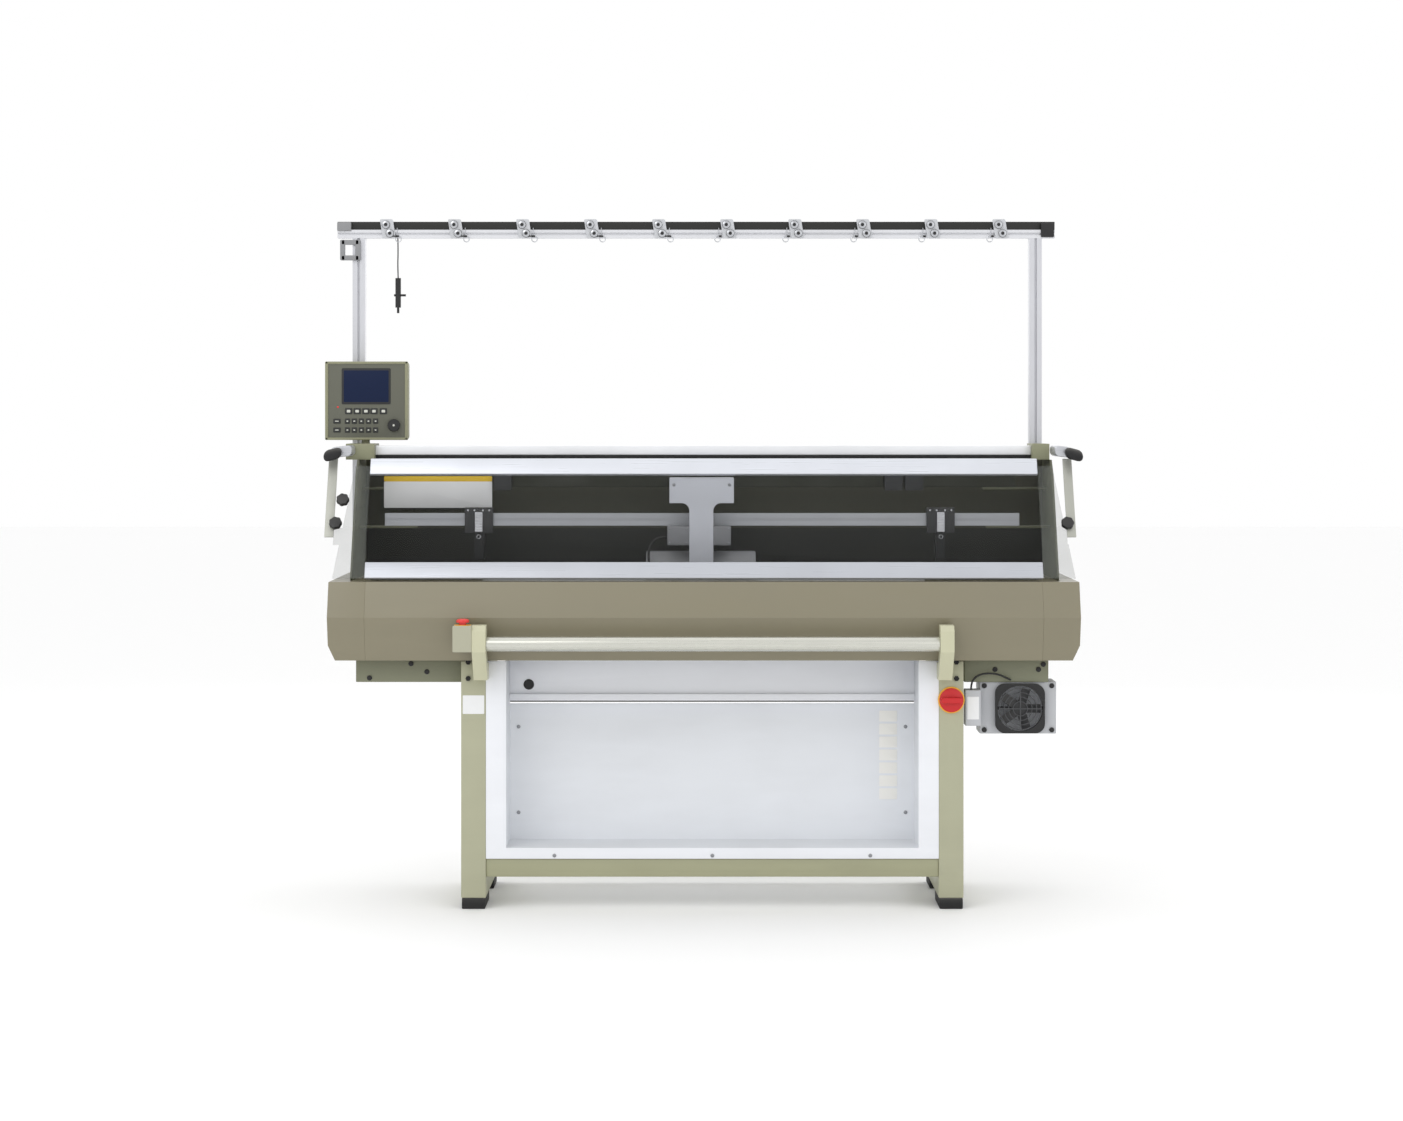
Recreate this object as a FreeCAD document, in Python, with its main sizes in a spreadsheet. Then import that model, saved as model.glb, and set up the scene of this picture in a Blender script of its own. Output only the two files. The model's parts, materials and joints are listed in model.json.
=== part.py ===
import FreeCAD, Part
import math
import os
import re

import Sketcher

# Flat knitting machine. X runs along the bed, the front faces -Y, Z is up and the floor is Z 0.
# The origin is on the floor, below the middle of the machine.

V = FreeCAD.Vector
doc = FreeCAD.newDocument("flat_knitting_machine")
sheet = doc.addObject("Spreadsheet::Sheet", "sizes")

SIZES = {
    # stand
    "foot_height": 34, "foot_front_length": 177, "foot_rear_length": 142, "foot_inset": 2,
    "leg_width": 76, "leg_bar": 70, "leg_front": -210, "leg_depth": 530,
    "leg_left": -744, "leg_right": 720, "bed_bottom": 760, "crossbar_bottom": 98,
    "crossbar_height": 56, "crossbar_depth": 40, "crossbar_set_back": 5,
    # lower panels
    "sheet_thick": 3, "strip_width": 62, "sill_top": 187, "recess_depth": 190,
    "screw_radius": 6, "screw_head": 3, "recess_screw_in": 27, "recess_screw_low": 84,
    "recess_screw_high": 352, "sill_screw_in": 210, "sill_screw_up": 10,
    "flap_height": 128, "flap_gap": 8, "flap_top": 748, "flap_set_back": 20, "flap_lip": 24,
    "flap_lip_depth": 10, "flap_roll": 3, "flap_hole": 14, "flap_hole_in": 60, "flap_hole_up": 53,
    "roller_radius": 32, "roller_height": 708, "roller_end": 10,
    # bed
    "beam_past_left": 50, "beam_past_right": 55, "beam_front": -130, "beam_back": 200,
    "beam_height": 140, "bed_middle": 35, "fabric_gap": 40, "bed_half": 690,
    "bed_run": 120, "bed_rise": 150, "bed_lip": 10,
    "guide_width": 20, "guide_height": 45, "guide_short": 34, "guide_inset": 3,
    # covers
    "cover_half": 1034, "cover_top": 1004, "cover_top_out": -240, "crease_height": 897,
    "crease_out": -280, "step_height": 791, "step_out": -250, "cover_bottom": 764,
    "cap_width": 113, "cap_tuck": 20, "tuck_rise": 20, "cover_back": 330, "flange_depth": 92,
    "under_height": 69, "under_front": -160, "under_depth": 280, "under_left_width": 327,
    "under_right_width": 260, "under_inset_left": 12, "under_inset_right": 27,
    # end plates, stay tube, rails
    "plate_thick": 6, "plate_top": 1373, "plate_back": 300, "plate_foot": 780,
    "plate_brow": 30, "plate_nose": -15, "plate_nose_drop": 43, "plate_lip": -165,
    "plate_lip_up": 10, "plate_lip_down": 30,
    "back_panel_front": 235, "back_panel_top": 1373,
    "stay_bottom": 1388, "stay_size": 29, "stay_front": 90,
    "bracket_height": 50, "bracket_front": 50, "bracket_depth": 150,
    "stay_past_left": 94, "stay_start_left": 5, "stay_start_right": 2, "stay_past_right": 56,
    "rail_height": 39, "rail_depth": 20, "front_rail_bottom": 1166, "rear_rail_bottom": 1284,
    "rail_short_left": 32, "rail_short_right": 42, "rear_rail_front": 140,
    "rail_bracket_thick": 8, "rail_bracket_reach": 104,
    # carriage
    "carriage_left": -180, "carriage_width": 343, "cam_thick": 30, "cam_gap": 6,
    "bridge_front": -50, "bridge_depth": 170, "bridge_wall": 25, "bridge_top": 1316,
    "bridge_neck": 1239, "bridge_inner_top": 1235, "stem_left": -45, "stem_width": 75,
    "head_left": -107, "head_width": 201, "neck_round": 24,
    "box_depth": 50, "box_height": 60, "box_bottom": 1107, "box_left_width": 69,
    "box_right_width": 55, "cable_radius": 4,
    # drive
    "pulley_past": 18, "pulley_height": 960, "pulley_radius": 25, "belt_front": 206,
    "belt_width": 15, "belt_thick": 3, "shaft_radius": 8, "shaft_length": 34,
    "motor_width": 54, "motor_front": 228, "motor_length": 70, "motor_height": 60,
    # hood
    "hood_lean": 26.9, "hood_foot_out": -210, "hood_foot_height": 1039, "hood_length": 354,
    "hood_past": 6, "hood_rail": 54, "hood_rail_thick": 14, "window_thick": 5,
    "arm_past_left": 136, "arm_past_right": 86, "arm_width": 28, "arm_thick": 6,
    "arm_start": 112, "shield_top_out": 46, "shield_low_out": 98, "shield_thick": 5,
    "shield_tab_low": 86, "shield_tab_high": 142,
    "pivot_out": 75, "pivot_height": 1399, "pivot_radius": 8,
    "pivot_depth": 30, "pin_root": 10, "lever_front": -50, "lever_depth": 145,
    "lever_height": 43, "lever_bottom": 1378, "lever_start_right": 62, "lever_past_right": 116,
    "grip_width": 54, "grip_height": 50, "grip_depth": 40, "grip_bottom": 1366, "grip_round": 12,
    "grip_past_left": 12, "grip_past_right": 29,
    "knob_radius": 22, "knob_length": 24, "knob_first": 40, "knob_second": 120,
    "knob_in_low": 34, "knob_in_high": 52, "knob_in_right": 2,
    # yarn stand
    "post_size": 40, "post_front": 250, "post_foot": 1100, "beam_bottom": 2083,
    "stand_beam_height": 27, "stand_past_left": 145, "stand_past_right": 97,
    "stand_rail_height": 26, "stand_rail_inset": 4,
    "unit_count": 10, "unit_start_left": 18, "unit_start_right": 79, "unit_width": 44,
    "unit_height": 64, "unit_thick": 6, "unit_bottom": 2080, "unit_disc": 13,
    "unit_disc_length": 18, "high_disc_across": -6, "high_disc_up": 46, "low_disc_across": 7,
    "low_disc_up": 18, "unit_arm_out": 10, "unit_arm_length": 22, "unit_arm_up": 8,
    "unit_arm_height": 6, "eyelet_radius": 9, "eyelet_wire": 2, "eyelet_out": 12,
    # controls
    "bar_radius": 22, "bar_out": -325, "bar_height": 821, "bar_in_left": 85, "bar_past_right": 6,
    "bar_pin_short": 10, "bracket_width": 42, "lug_front": 27, "lug_back": 33, "lug_shoulder": 40,
    "lug_brow": 12, "lug_top": 57, "lug_foot_back": 66, "lug_foot_nose": 60, "lug_foot_drop": 6,
    "lug_leg_drop": 8, "lug_foot_low": 58, "estop_width": 58, "estop_front": 30,
    "estop_depth": 70, "estop_height": 80, "estop_bottom": 798, "estop_round": 4,
    "cap_radius": 20, "cap_height": 12, "cap_back": 2, "cap_lift": 8, "cap_stem_radius": 11,
    "cap_stem_length": 11, "switch_z": 641, "switch_size": 82, "switch_radius": 37,
    "switch_thick": 6, "switch_knob_length": 22, "switch_disc": 8, "handle_inset": 4,
    "handle_height": 18,
    "fan_box_in": 49, "fan_box_width": 236, "fan_box_bottom": 531, "fan_set_back": 10,
    "fan_box_depth": 118, "fan_cavity": 30, "fan_across": 123, "fan_z": 610, "fan_radius": 66,
    "fan_tip_room": 4, "fan_frame": 76, "fan_frame_depth": 20, "fan_frame_round": 30,
    "strut_width": 10, "strut_thick": 4, "strut_root": 5, "hub_radius": 22, "hub_depth": 13,
    "rotor_set_back": 2, "blade_count": 5, "blade_chord": 28, "blade_thick": 3,
    "blade_tilt": 18, "blade_root": 7, "blade_tip_gap": 1, "axle_radius": 4, "axle_short": 0.5,
    "brake_width": 48, "brake_height": 110, "brake_bottom": 559, "brake_depth": 60,
    "brake_set_back": 20, "lead_radius": 3,
    # control panel
    "panel_past_neck": 127, "panel_width": 264, "panel_height": 250, "panel_bottom": 1434,
    "panel_front": 140, "panel_depth": 55, "panel_round": 5, "neck_in": 50, "neck_radius": 13,
    "neck_socket": 20, "neck_root": 6, "dial_across": 220, "dial_z": 1481, "dial_radius": 20,
    "dial_length": 14,
    # carriers
    "carrier_left": -750, "carrier_width": 88, "carrier_low": 1144, "carrier_thick": 15,
    "carrier_top": 18, "carrier_foot": 12, "finger_width": 30, "finger_foot": 1062,
    "carrier_right": 700, "rear_carrier_width": 58, "rear_carrier_left": -668,
    "rear_carrier_right": 575, "rear_carrier_pitch": 65, "rear_carrier_drop": 10,
    # threading tool
    "tool_x": -985, "tool_y": 268, "tool_top": 1955, "tool_radius": 9, "tool_length": 95,
    "cross_left": 13, "cross_width": 38, "cross_depth": 8, "cross_down": 59, "cross_height": 7,
    "hook_radius": 4, "hook_drop": 18, "hook_root": 2, "hang_radius": 2,
    # clearances, and how far a cutting tool runs past the face that it opens
    "gap": 0.3, "fit": 0.05, "slot_room": 1, "past": 1,
}

# Places worked out from the sizes. What stands at an end of the machine follows the cover's end.
DERIVED = {
    "beam_left": "-cover_half - beam_past_left", "beam_right": "cover_half + beam_past_right",
    "guide_half": "cover_half - guide_short", "pulley_centre": "cover_half + pulley_past",
    "under_left": "beam_left + under_inset_left",
    "under_right": "beam_right - under_inset_right - under_right_width",
    "bracket_left_out": "-cover_half - stay_past_left",
    "bracket_left_in": "-cover_half - stay_start_left",
    "bracket_right_in": "cover_half + stay_start_right",
    "bracket_right_out": "cover_half + stay_past_right",
    "rail_left": "-cover_half + rail_short_left", "rail_right": "cover_half - rail_short_right",
    "hood_half": "cover_half + hood_past", "arm_left": "-cover_half - arm_past_left",
    "arm_right": "cover_half + arm_past_right",
    "lever_right_in": "cover_half + lever_start_right",
    "lever_right_out": "cover_half + lever_past_right",
    "post_left": "beam_left - plate_thick - post_size", "post_right": "beam_right - post_size",
    "stand_left": "-cover_half - stand_past_left",
    "stand_width": "2 * cover_half + stand_past_left + stand_past_right",
    "unit_first": "-cover_half + unit_start_left",
    "unit_pitch": "(2 * cover_half - unit_start_left - unit_start_right) / (unit_count - 1)",
    "bar_left": "leg_left + bar_in_left", "bar_right": "leg_right - bar_past_right",
    "switch_x": "leg_right + leg_width / 2", "fan_box_left": "under_right + fan_box_in",
    "fan_x": "fan_box_left + fan_across", "neck_x": "bracket_left_out + neck_in",
    "panel_left": "neck_x - panel_past_neck", "dial_x": "panel_left + dial_across",
}
for row, (alias, number) in enumerate(SIZES.items(), start=1):
    sheet.set("A%d" % row, alias)
    sheet.set("B%d" % row, str(number))
    sheet.setAlias("B%d" % row, alias)
doc.recompute()

PARTS = []
ORIGIN_AXES = {"X": (V(0, 1, 0), 90), "Y": (V(1, 0, 0), -90), "Z": (V(0, 0, 1), 0)}


def bound(words):
    """Turn words such as 'leg_front + 3' into an expression on the sheet's cells."""
    def cell(word):
        if word in DERIVED:
            return "(" + bound(DERIVED[word]) + ")"
        return "sizes." + word if word in SIZES else word
    return re.sub(r"[a-z][a-z_]*", lambda found: cell(found.group()), str(words))


def size(alias):
    return float(sheet.get(alias))


def place(item, corner, axis=V(0, 0, 1), angle=0):
    item.Placement = FreeCAD.Placement(V(0, 0, 0), FreeCAD.Rotation(axis, angle))
    for letter, words in zip("xyz", corner):
        item.setExpression("Placement.Base." + letter, bound(words))
    return item


def box(name, corner, extent):
    item = doc.addObject("Part::Box", name)
    for side, words in zip(("Length", "Width", "Height"), extent):
        item.setExpression(side, bound(words))
    return place(item, corner)


def cylinder(name, start, axis, radius, length):
    item = doc.addObject("Part::Cylinder", name)
    item.setExpression("Radius", bound(radius))
    item.setExpression("Height", bound(length))
    return place(item, start, *ORIGIN_AXES[axis])


def profile(name, plane, points, length, start=0):
    """A closed outline on an origin plane, padded towards the plane's positive axis."""
    body = doc.addObject("PartDesign::Body", name + "_body")
    sketch = body.newObject("Sketcher::SketchObject", name + "_outline")
    origin = next(f for f in body.Origin.OriginFeatures if f.Role == plane + "_Plane")
    sketch.AttachmentSupport = [(origin, "")]
    sketch.MapMode = "FlatFace"
    count = len(points)
    turns = [2 * math.pi * i / count for i in range(count)]
    first = [V(100 * math.cos(a), 100 * math.sin(a), 0) for a in turns]
    for i in range(count):
        sketch.addGeometry(Part.LineSegment(first[i], first[(i + 1) % count]), False)
    for i in range(count):
        sketch.addConstraint(Sketcher.Constraint("Coincident", i, 2, (i + 1) % count, 1))
    for i, point in enumerate(points):
        for kind, words, at in zip(("DistanceX", "DistanceY"), point, (first[i].x, first[i].y)):
            index = sketch.addConstraint(Sketcher.Constraint(kind, -1, 1, i, 1, at))
            sketch.setExpression("Constraints[%d]" % index, bound(words))
    pad = body.newObject("PartDesign::Pad", name + "_pad")
    pad.Profile = sketch
    pad.setExpression("Length", bound(length))
    pad.Reversed = plane == "XZ"
    letter = {"YZ": "x", "XZ": "y", "XY": "z"}[plane]
    body.setExpression("Placement.Base." + letter, bound(start))
    return body


def cut(name, base, *tools):
    item = doc.addObject("Part::Cut", name)
    item.Base = base
    item.Tool = tools[0] if len(tools) == 1 else fuse(name + "_tools", tools)
    return item


def fuse(name, items):
    item = doc.addObject("Part::MultiFuse", name)
    item.Shapes = list(items)
    return item


def common(name, first, second):
    item = doc.addObject("Part::Common", name)
    item.Base = first
    item.Tool = second
    return item


def rounded(name, base, radius, wanted=lambda edge: True):
    """Fillet the edges that pass the test, by the named radius."""
    doc.recompute()
    item = doc.addObject("Part::Fillet", name)
    item.Base = base
    edges = enumerate(base.Shape.Edges, start=1)
    item.Edges = [(number, size(radius), size(radius)) for number, edge in edges if wanted(edge)]
    return item


def node(label, *items):
    """One sub-part: a single piece, or a group of like pieces that stay separate solids."""
    item = items[0]
    if len(items) > 1:
        item = doc.addObject("Part::Compound", label + "_group")
        item.Links = list(items)
    item.Label = label
    PARTS.append(item)
    return item


def lean(item):
    """Stand a hood piece, drawn upright from the hood's foot line, in the hood's sloping plane."""
    turn = FreeCAD.Rotation(V(1, 0, 0), -size("hood_lean"))
    item.Placement = FreeCAD.Placement(V(0, 0, 0), turn)
    item.setExpression("Placement.Base.y", bound("hood_foot_out"))
    item.setExpression("Placement.Base.z", bound("hood_foot_height"))
    return item


def tube(label, points, radius):
    """A cord's solid: straight runs joined by tangent arcs."""
    corners = [V(*p) for p in points]
    edges, here = [], corners[0]
    for before, corner, after in zip(corners, corners[1:], corners[2:]):
        arriving, leaving = (corner - before), (after - corner)
        shorter = min(arriving.Length, leaving.Length)
        turn = arriving.getAngle(leaving)
        arriving.normalize()
        leaving.normalize()
        back = 0.45 * shorter
        start, end = corner - arriving * back, corner + leaving * back
        bend = back / math.tan(turn / 2)
        print(label, "bend radius %.1f" % bend)
        inward = leaving - arriving
        inward.normalize()
        middle = corner + inward * (bend / math.cos(turn / 2) - bend)
        edges.append(Part.LineSegment(here, start).toShape())
        edges.append(Part.Arc(start, middle, end).toShape())
        here = end
    edges.append(Part.LineSegment(here, corners[-1]).toShape())
    path = Part.Wire(edges)
    ring = Part.Wire(Part.makeCircle(radius, corners[0], corners[1] - corners[0]))
    item = doc.addObject("Part::Feature", label + "_tube")
    item.Shape = path.makePipeShell([ring], True, False)
    print(label, "volume over section times length %.4f"
          % (item.Shape.Volume / (math.pi * radius ** 2 * path.Length)))
    return item


# Stand: two welded ring frames on rubber feet, tied by two crossbars.
def leg_frame(side):
    left = "leg_" + side
    tall = "bed_bottom - foot_height"
    outer = box(side + "_leg_outer", (left, "leg_front", "foot_height"),
                ("leg_width", "leg_depth", tall))
    inner = box(side + "_leg_window", (left + " - past", "leg_front + leg_bar",
                                           "foot_height + leg_bar"),
                ("leg_width + 2 * past", "leg_depth - 2 * leg_bar", tall + " - 2 * leg_bar"))
    return cut(side + "_leg", outer, inner)


node("leg_frames", leg_frame("left"), leg_frame("right"))

feet = []
for side in ("left", "right"):
    x = "leg_%s + foot_inset" % side
    wide = "leg_width - 2 * foot_inset"
    feet.append(box(side + "_front_foot", (x, "leg_front", 0),
                    (wide, "foot_front_length", "foot_height")))
    feet.append(box(side + "_rear_foot", (x, "leg_front + leg_depth - foot_rear_length", 0),
                    (wide, "foot_rear_length", "foot_height")))
node("feet", *feet)

inner_left = "leg_left + leg_width"
inner_span = "leg_right - leg_left - leg_width"
node("crossbars",
     box("front_crossbar", (inner_left, "leg_front + crossbar_set_back", "crossbar_bottom"),
         (inner_span, "crossbar_depth", "crossbar_height")),
     box("rear_crossbar", (inner_left, "leg_front + leg_depth - crossbar_depth", "crossbar_bottom"),
         (inner_span, "crossbar_depth", "crossbar_height")))

# Lower panels: a flat trim round the opening, a folded recess behind it and the chute flap.
sill_bottom = "crossbar_bottom + crossbar_height"
recess_left = "leg_left + leg_width + strip_width"
recess_right = "leg_right - strip_width"
recess_span = "leg_right - leg_left - leg_width - 2 * strip_width"
node("trim_panel", profile("trim", "XZ", [
    (inner_left, sill_bottom), ("leg_right", sill_bottom), ("leg_right", "bed_bottom"),
    (recess_right, "bed_bottom"), (recess_right, "sill_top"), (recess_left, "sill_top"),
    (recess_left, "bed_bottom"), (inner_left, "bed_bottom")], "sheet_thick", "leg_front"))

back_face = "leg_front + recess_depth"
recess_height = "bed_bottom - sill_top"
recess_front = "leg_front + sheet_thick"
wall_depth = "recess_depth - sheet_thick"
node("recess_panel", fuse("recess", [
    box("recess_back", (recess_left + " - sheet_thick", back_face, "sill_top - sheet_thick"),
        (recess_span + " + 2 * sheet_thick", "sheet_thick",
         "flap_top - flap_height - flap_gap - sill_top + sheet_thick")),
    box("recess_wall_left",
        (recess_left + " - sheet_thick", recess_front, "sill_top - sheet_thick"),
        ("sheet_thick", wall_depth, recess_height + " + sheet_thick")),
    box("recess_wall_right", (recess_right, recess_front, "sill_top - sheet_thick"),
        ("sheet_thick", wall_depth, recess_height + " + sheet_thick")),
    box("recess_floor", (recess_left, recess_front, "sill_top - sheet_thick"),
        (recess_span, wall_depth, "sheet_thick"))]))

screws = []
for x in (recess_left + " + recess_screw_in", recess_right + " - recess_screw_in"):
    for z in ("sill_top + recess_screw_low", "sill_top + recess_screw_high"):
        screws.append(cylinder("recess_screw", (x, back_face + " - screw_head", z), "Y",
                               "screw_radius", "screw_head"))
for x in (inner_left + " + sill_screw_in", "(" + inner_left + " + leg_right) / 2",
          "leg_right - sill_screw_in"):
    screws.append(cylinder("sill_screw", (x, "leg_front - screw_head",
                                          sill_bottom + " + sill_screw_up"), "Y",
                           "screw_radius", "screw_head"))
node("panel_screws", *screws)

# The flap hangs from its rolled top edge and has a stiffening lip along its foot.
flap_bottom = "flap_top - flap_height"
flap_front = "leg_front + recess_depth - flap_set_back"
flap_left = recess_left + " + gap"
flap_span = recess_span + " - 2 * gap"
flap = fuse("flap_plate", [
    box("flap_sheet", (flap_left, flap_front, flap_bottom),
        (flap_span, "sheet_thick", "flap_height")),
    box("flap_lip", (flap_left, flap_front + " - flap_lip_depth", flap_bottom),
        (flap_span, "flap_lip_depth", "flap_lip")),
    cylinder("flap_roll", (flap_left, flap_front + " + sheet_thick / 2", "flap_top"), "X",
             "flap_roll", flap_span)])
node("chute_flap", cut("flap", flap, cylinder(
    "flap_finger_hole", (recess_left + " + flap_hole_in", flap_front + " - past",
                         flap_bottom + " + flap_hole_up"), "Y",
    "flap_hole", "sheet_thick + 2 * past")))

node("take_down_roller", fuse("roller", [
    cylinder("roller_drum", (recess_left + " + roller_end", "bed_middle", "roller_height"), "X",
             "roller_radius", recess_span + " - 2 * roller_end"),
    cylinder("roller_shaft", (inner_left + " + gap", "bed_middle", "roller_height"), "X",
             "shaft_radius", inner_span + " - 2 * gap")]))

# Bed: one long casting with a slot that the fabric falls through, and two sloping needle beds.
beam_top = "bed_bottom + beam_height"
node("bed_beam", cut("beam", box(
    "beam_block", ("beam_left", "beam_front", "bed_bottom"),
    ("beam_right - beam_left", "beam_back - beam_front", "beam_height")), box(
    "beam_slot", ("-bed_half", "bed_middle - fabric_gap / 2", "bed_bottom - past"),
    ("2 * bed_half", "fabric_gap", "beam_height + 2 * past"))))


def bed_outline(sign):
    """Needle bed section, mirrored about the fabric gap by its sign."""
    near = "bed_middle + (%d) * fabric_gap / 2" % sign
    far = "bed_middle + (%d) * (fabric_gap / 2 + bed_run)" % sign
    lip = "bed_middle + (%d) * (fabric_gap / 2 + bed_lip)" % sign
    base = "bed_bottom + beam_height"
    return [(far, base), (near, base), (near, base + " + bed_rise"), (lip, base + " + bed_rise"),
            (far, base + " + bed_rise - bed_run + bed_lip")]


node("needle_beds", *[profile("needle_bed", "YZ", bed_outline(sign), "2 * bed_half", "-bed_half")
                      for sign in (-1, 1)])

guide_near = "(fabric_gap / 2 + bed_run + guide_inset)"
node("carriage_guides",
     box("front_guide", ("-guide_half", "bed_middle - %s - guide_width" % guide_near, beam_top),
         ("2 * guide_half", "guide_width", "guide_height")),
     box("rear_guide", ("-guide_half", "bed_middle + " + guide_near, beam_top),
         ("2 * guide_half", "guide_width", "guide_height")))


# Covers: a faceted front sheet, closed end caps of the same section, and a rear sheet.
def cover_outline(inset):
    """The front cover's section as a folded sheet, from its top flange to its bottom flange."""
    outer = [("cover_top_out + flange_depth", "cover_top"), ("cover_top_out", "cover_top"),
             ("crease_out", "crease_height"), ("step_out", "step_height"),
             ("cover_top_out", "cover_bottom"), ("beam_front", "cover_bottom")]
    inner = [("beam_front", "cover_bottom + " + inset),
             ("cover_top_out + " + inset, "cover_bottom + " + inset),
             ("step_out + " + inset, "step_height"), ("crease_out + " + inset, "crease_height"),
             ("cover_top_out + " + inset, "cover_top - " + inset),
             ("cover_top_out + flange_depth", "cover_top - " + inset)]
    return outer + inner


node("front_cover", profile("cover", "YZ", cover_outline("sheet_thick"), "2 * cover_half",
                            "-cover_half"))


def cap_outline(inset):
    return [("cover_top_out + " + inset, "cover_top - " + inset),
            ("crease_out + " + inset, "crease_height"),
            ("step_out + " + inset, "step_height"),
            ("cover_top_out + " + inset, "cover_bottom + " + inset),
            ("cover_back - " + inset, "cover_bottom + " + inset),
            ("cover_back - " + inset, "cover_top - " + inset)]


def cap_wedge(name, sign, wall):
    """The wedge that tucks a cap's lower outer corner in, moved inwards by a wall."""
    out = "(%d) * (cover_half + cap_width + past)" % sign
    edge = "(%d) * (cover_half + cap_width - %s)" % (sign, wall)
    foot = "(%d) * (cover_half + cap_width - %s - cap_tuck)" % (sign, wall)
    return profile(name, "XZ", [
        (out, "cover_bottom - past"), (out, "step_height + tuck_rise"),
        (edge, "step_height + tuck_rise"), (foot, "cover_bottom"), (foot, "cover_bottom - past")],
        "cover_back - crease_out + 2 * past", "crease_out - past")


def end_cap(side, sign):
    outer_start = "cover_half" if sign > 0 else "-cover_half - cap_width"
    inner_start = "cover_half - past" if sign > 0 else "-cover_half - cap_width + sheet_thick"
    outer = profile(side + "_cap_outer", "YZ", cap_outline("0"), "cap_width", outer_start)
    inner = profile(side + "_cap_inner", "YZ", cap_outline("sheet_thick"),
                    "cap_width - sheet_thick + past", inner_start)
    plate = "beam_right" if sign > 0 else "beam_left - plate_thick"
    slot = box(side + "_cap_slot", (plate + " - slot_room", "plate_lip - slot_room",
                                    "cover_top - sheet_thick - past"),
               ("plate_thick + 2 * slot_room", "plate_back - plate_lip + 2 * slot_room",
                "sheet_thick + 2 * past"))
    reach = "beam_past_%s + plate_thick + slot_room + past" % side
    beam_end = "cover_half - past" if sign > 0 else "-cover_half + past - (%s)" % reach
    floor = box(side + "_cap_floor_slot",
                (beam_end, "beam_front - slot_room", "cover_bottom - past"),
                (reach, "plate_back - beam_front + 2 * slot_room", "sheet_thick + 2 * past"))
    shell = cut(side + "_cap_shell",
                cut(side + "_cap_body", outer, cap_wedge(side + "_outer_wedge", sign, "0")),
                cut(side + "_cap_hollow", inner,
                    cap_wedge(side + "_inner_wedge", sign, "sheet_thick")))
    return cut(side + "_cap", shell, slot, floor)


node("end_caps", end_cap("left", -1), end_cap("right", 1))

node("rear_cover", profile("rear", "YZ", [
    ("beam_back", "cover_bottom"), ("cover_back", "cover_bottom"), ("cover_back", "cover_top"),
    ("back_panel_front + sheet_thick", "cover_top"),
    ("back_panel_front + sheet_thick", "cover_top - sheet_thick"),
    ("cover_back - sheet_thick", "cover_top - sheet_thick"),
    ("cover_back - sheet_thick", "cover_bottom + sheet_thick"),
    ("beam_back", "cover_bottom + sheet_thick")], "2 * cover_half", "-cover_half"))

node("under_boxes",
     box("under_box_left", ("under_left", "under_front", "bed_bottom - under_height"),
         ("under_left_width", "under_depth", "under_height")),
     box("under_box_right", ("under_right", "under_front", "bed_bottom - under_height"),
         ("under_right_width", "under_depth", "under_height")))

# End plates carry the stay tube, the back panel, the yarn rails and the posts.
plate_outline = [("beam_front", "plate_foot"), ("plate_back", "plate_foot"),
                 ("plate_back", "plate_top"), ("plate_brow", "plate_top"),
                 ("plate_nose", "plate_top - plate_nose_drop"),
                 ("plate_lip", "cover_top + plate_lip_up"),
                 ("beam_front", "cover_top - plate_lip_down")]
node("end_plates",
     profile("left_plate", "YZ", plate_outline, "plate_thick", "beam_left - plate_thick"),
     profile("right_plate", "YZ", plate_outline, "plate_thick", "beam_right"))
node("back_panel", box("back", ("beam_left", "back_panel_front", "cover_top"),
                       ("beam_right - beam_left", "sheet_thick", "back_panel_top - cover_top")))


def stay_bracket(side, low, high, pin_start):
    block = box(side + "_stay_block", (low, "bracket_front", "plate_top"),
                (high + " - (" + low + ")", "bracket_depth", "bracket_height"))
    bore = cylinder(side + "_pivot_bore", (pin_start, "pivot_out", "pivot_height"), "X",
                    "pivot_radius + fit", "pivot_depth + 2 * past")
    return cut(side + "_stay_bracket", block, bore)


neck_bore = cylinder("neck_bore", ("neck_x", "panel_front + panel_depth / 2",
                                   "plate_top + bracket_height - neck_socket"), "Z",
                     "neck_radius + fit", "neck_socket + past")
node("stay_brackets",
     cut("left_bracket_bored", stay_bracket("left", "bracket_left_out", "bracket_left_in",
                                            "bracket_left_out - past"), neck_bore),
     stay_bracket("right", "bracket_right_in", "bracket_right_out",
                  "bracket_right_out - pivot_depth - past"))
node("stay_tube", box("stay", ("bracket_left_in", "stay_front", "stay_bottom"),
                      ("bracket_right_in - bracket_left_in", "stay_size", "stay_size")))

rail_front = "bed_middle - rail_depth / 2"
node("yarn_rails",
     box("front_rail", ("rail_left", rail_front, "front_rail_bottom"),
         ("rail_right - rail_left", "rail_depth", "rail_height")),
     box("rear_rail", ("rail_left", "rear_rail_front", "rear_rail_bottom"),
         ("rail_right - rail_left", "rail_depth", "rail_height")))
rail_brackets = []
for name, y, z in (("front", rail_front, "front_rail_bottom"),
                   ("rear", "rear_rail_front", "rear_rail_bottom")):
    rail_brackets.append(box(name + "_left_support", ("beam_left", y, z + " - rail_bracket_thick"),
                             ("rail_left + rail_bracket_reach - beam_left", "rail_depth",
                              "rail_bracket_thick")))
    rail_brackets.append(box(name + "_right_support",
                             ("rail_right - rail_bracket_reach", y, z + " - rail_bracket_thick"),
                             ("beam_right - rail_right + rail_bracket_reach", "rail_depth",
                              "rail_bracket_thick")))
node("rail_brackets", *rail_brackets)


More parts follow.
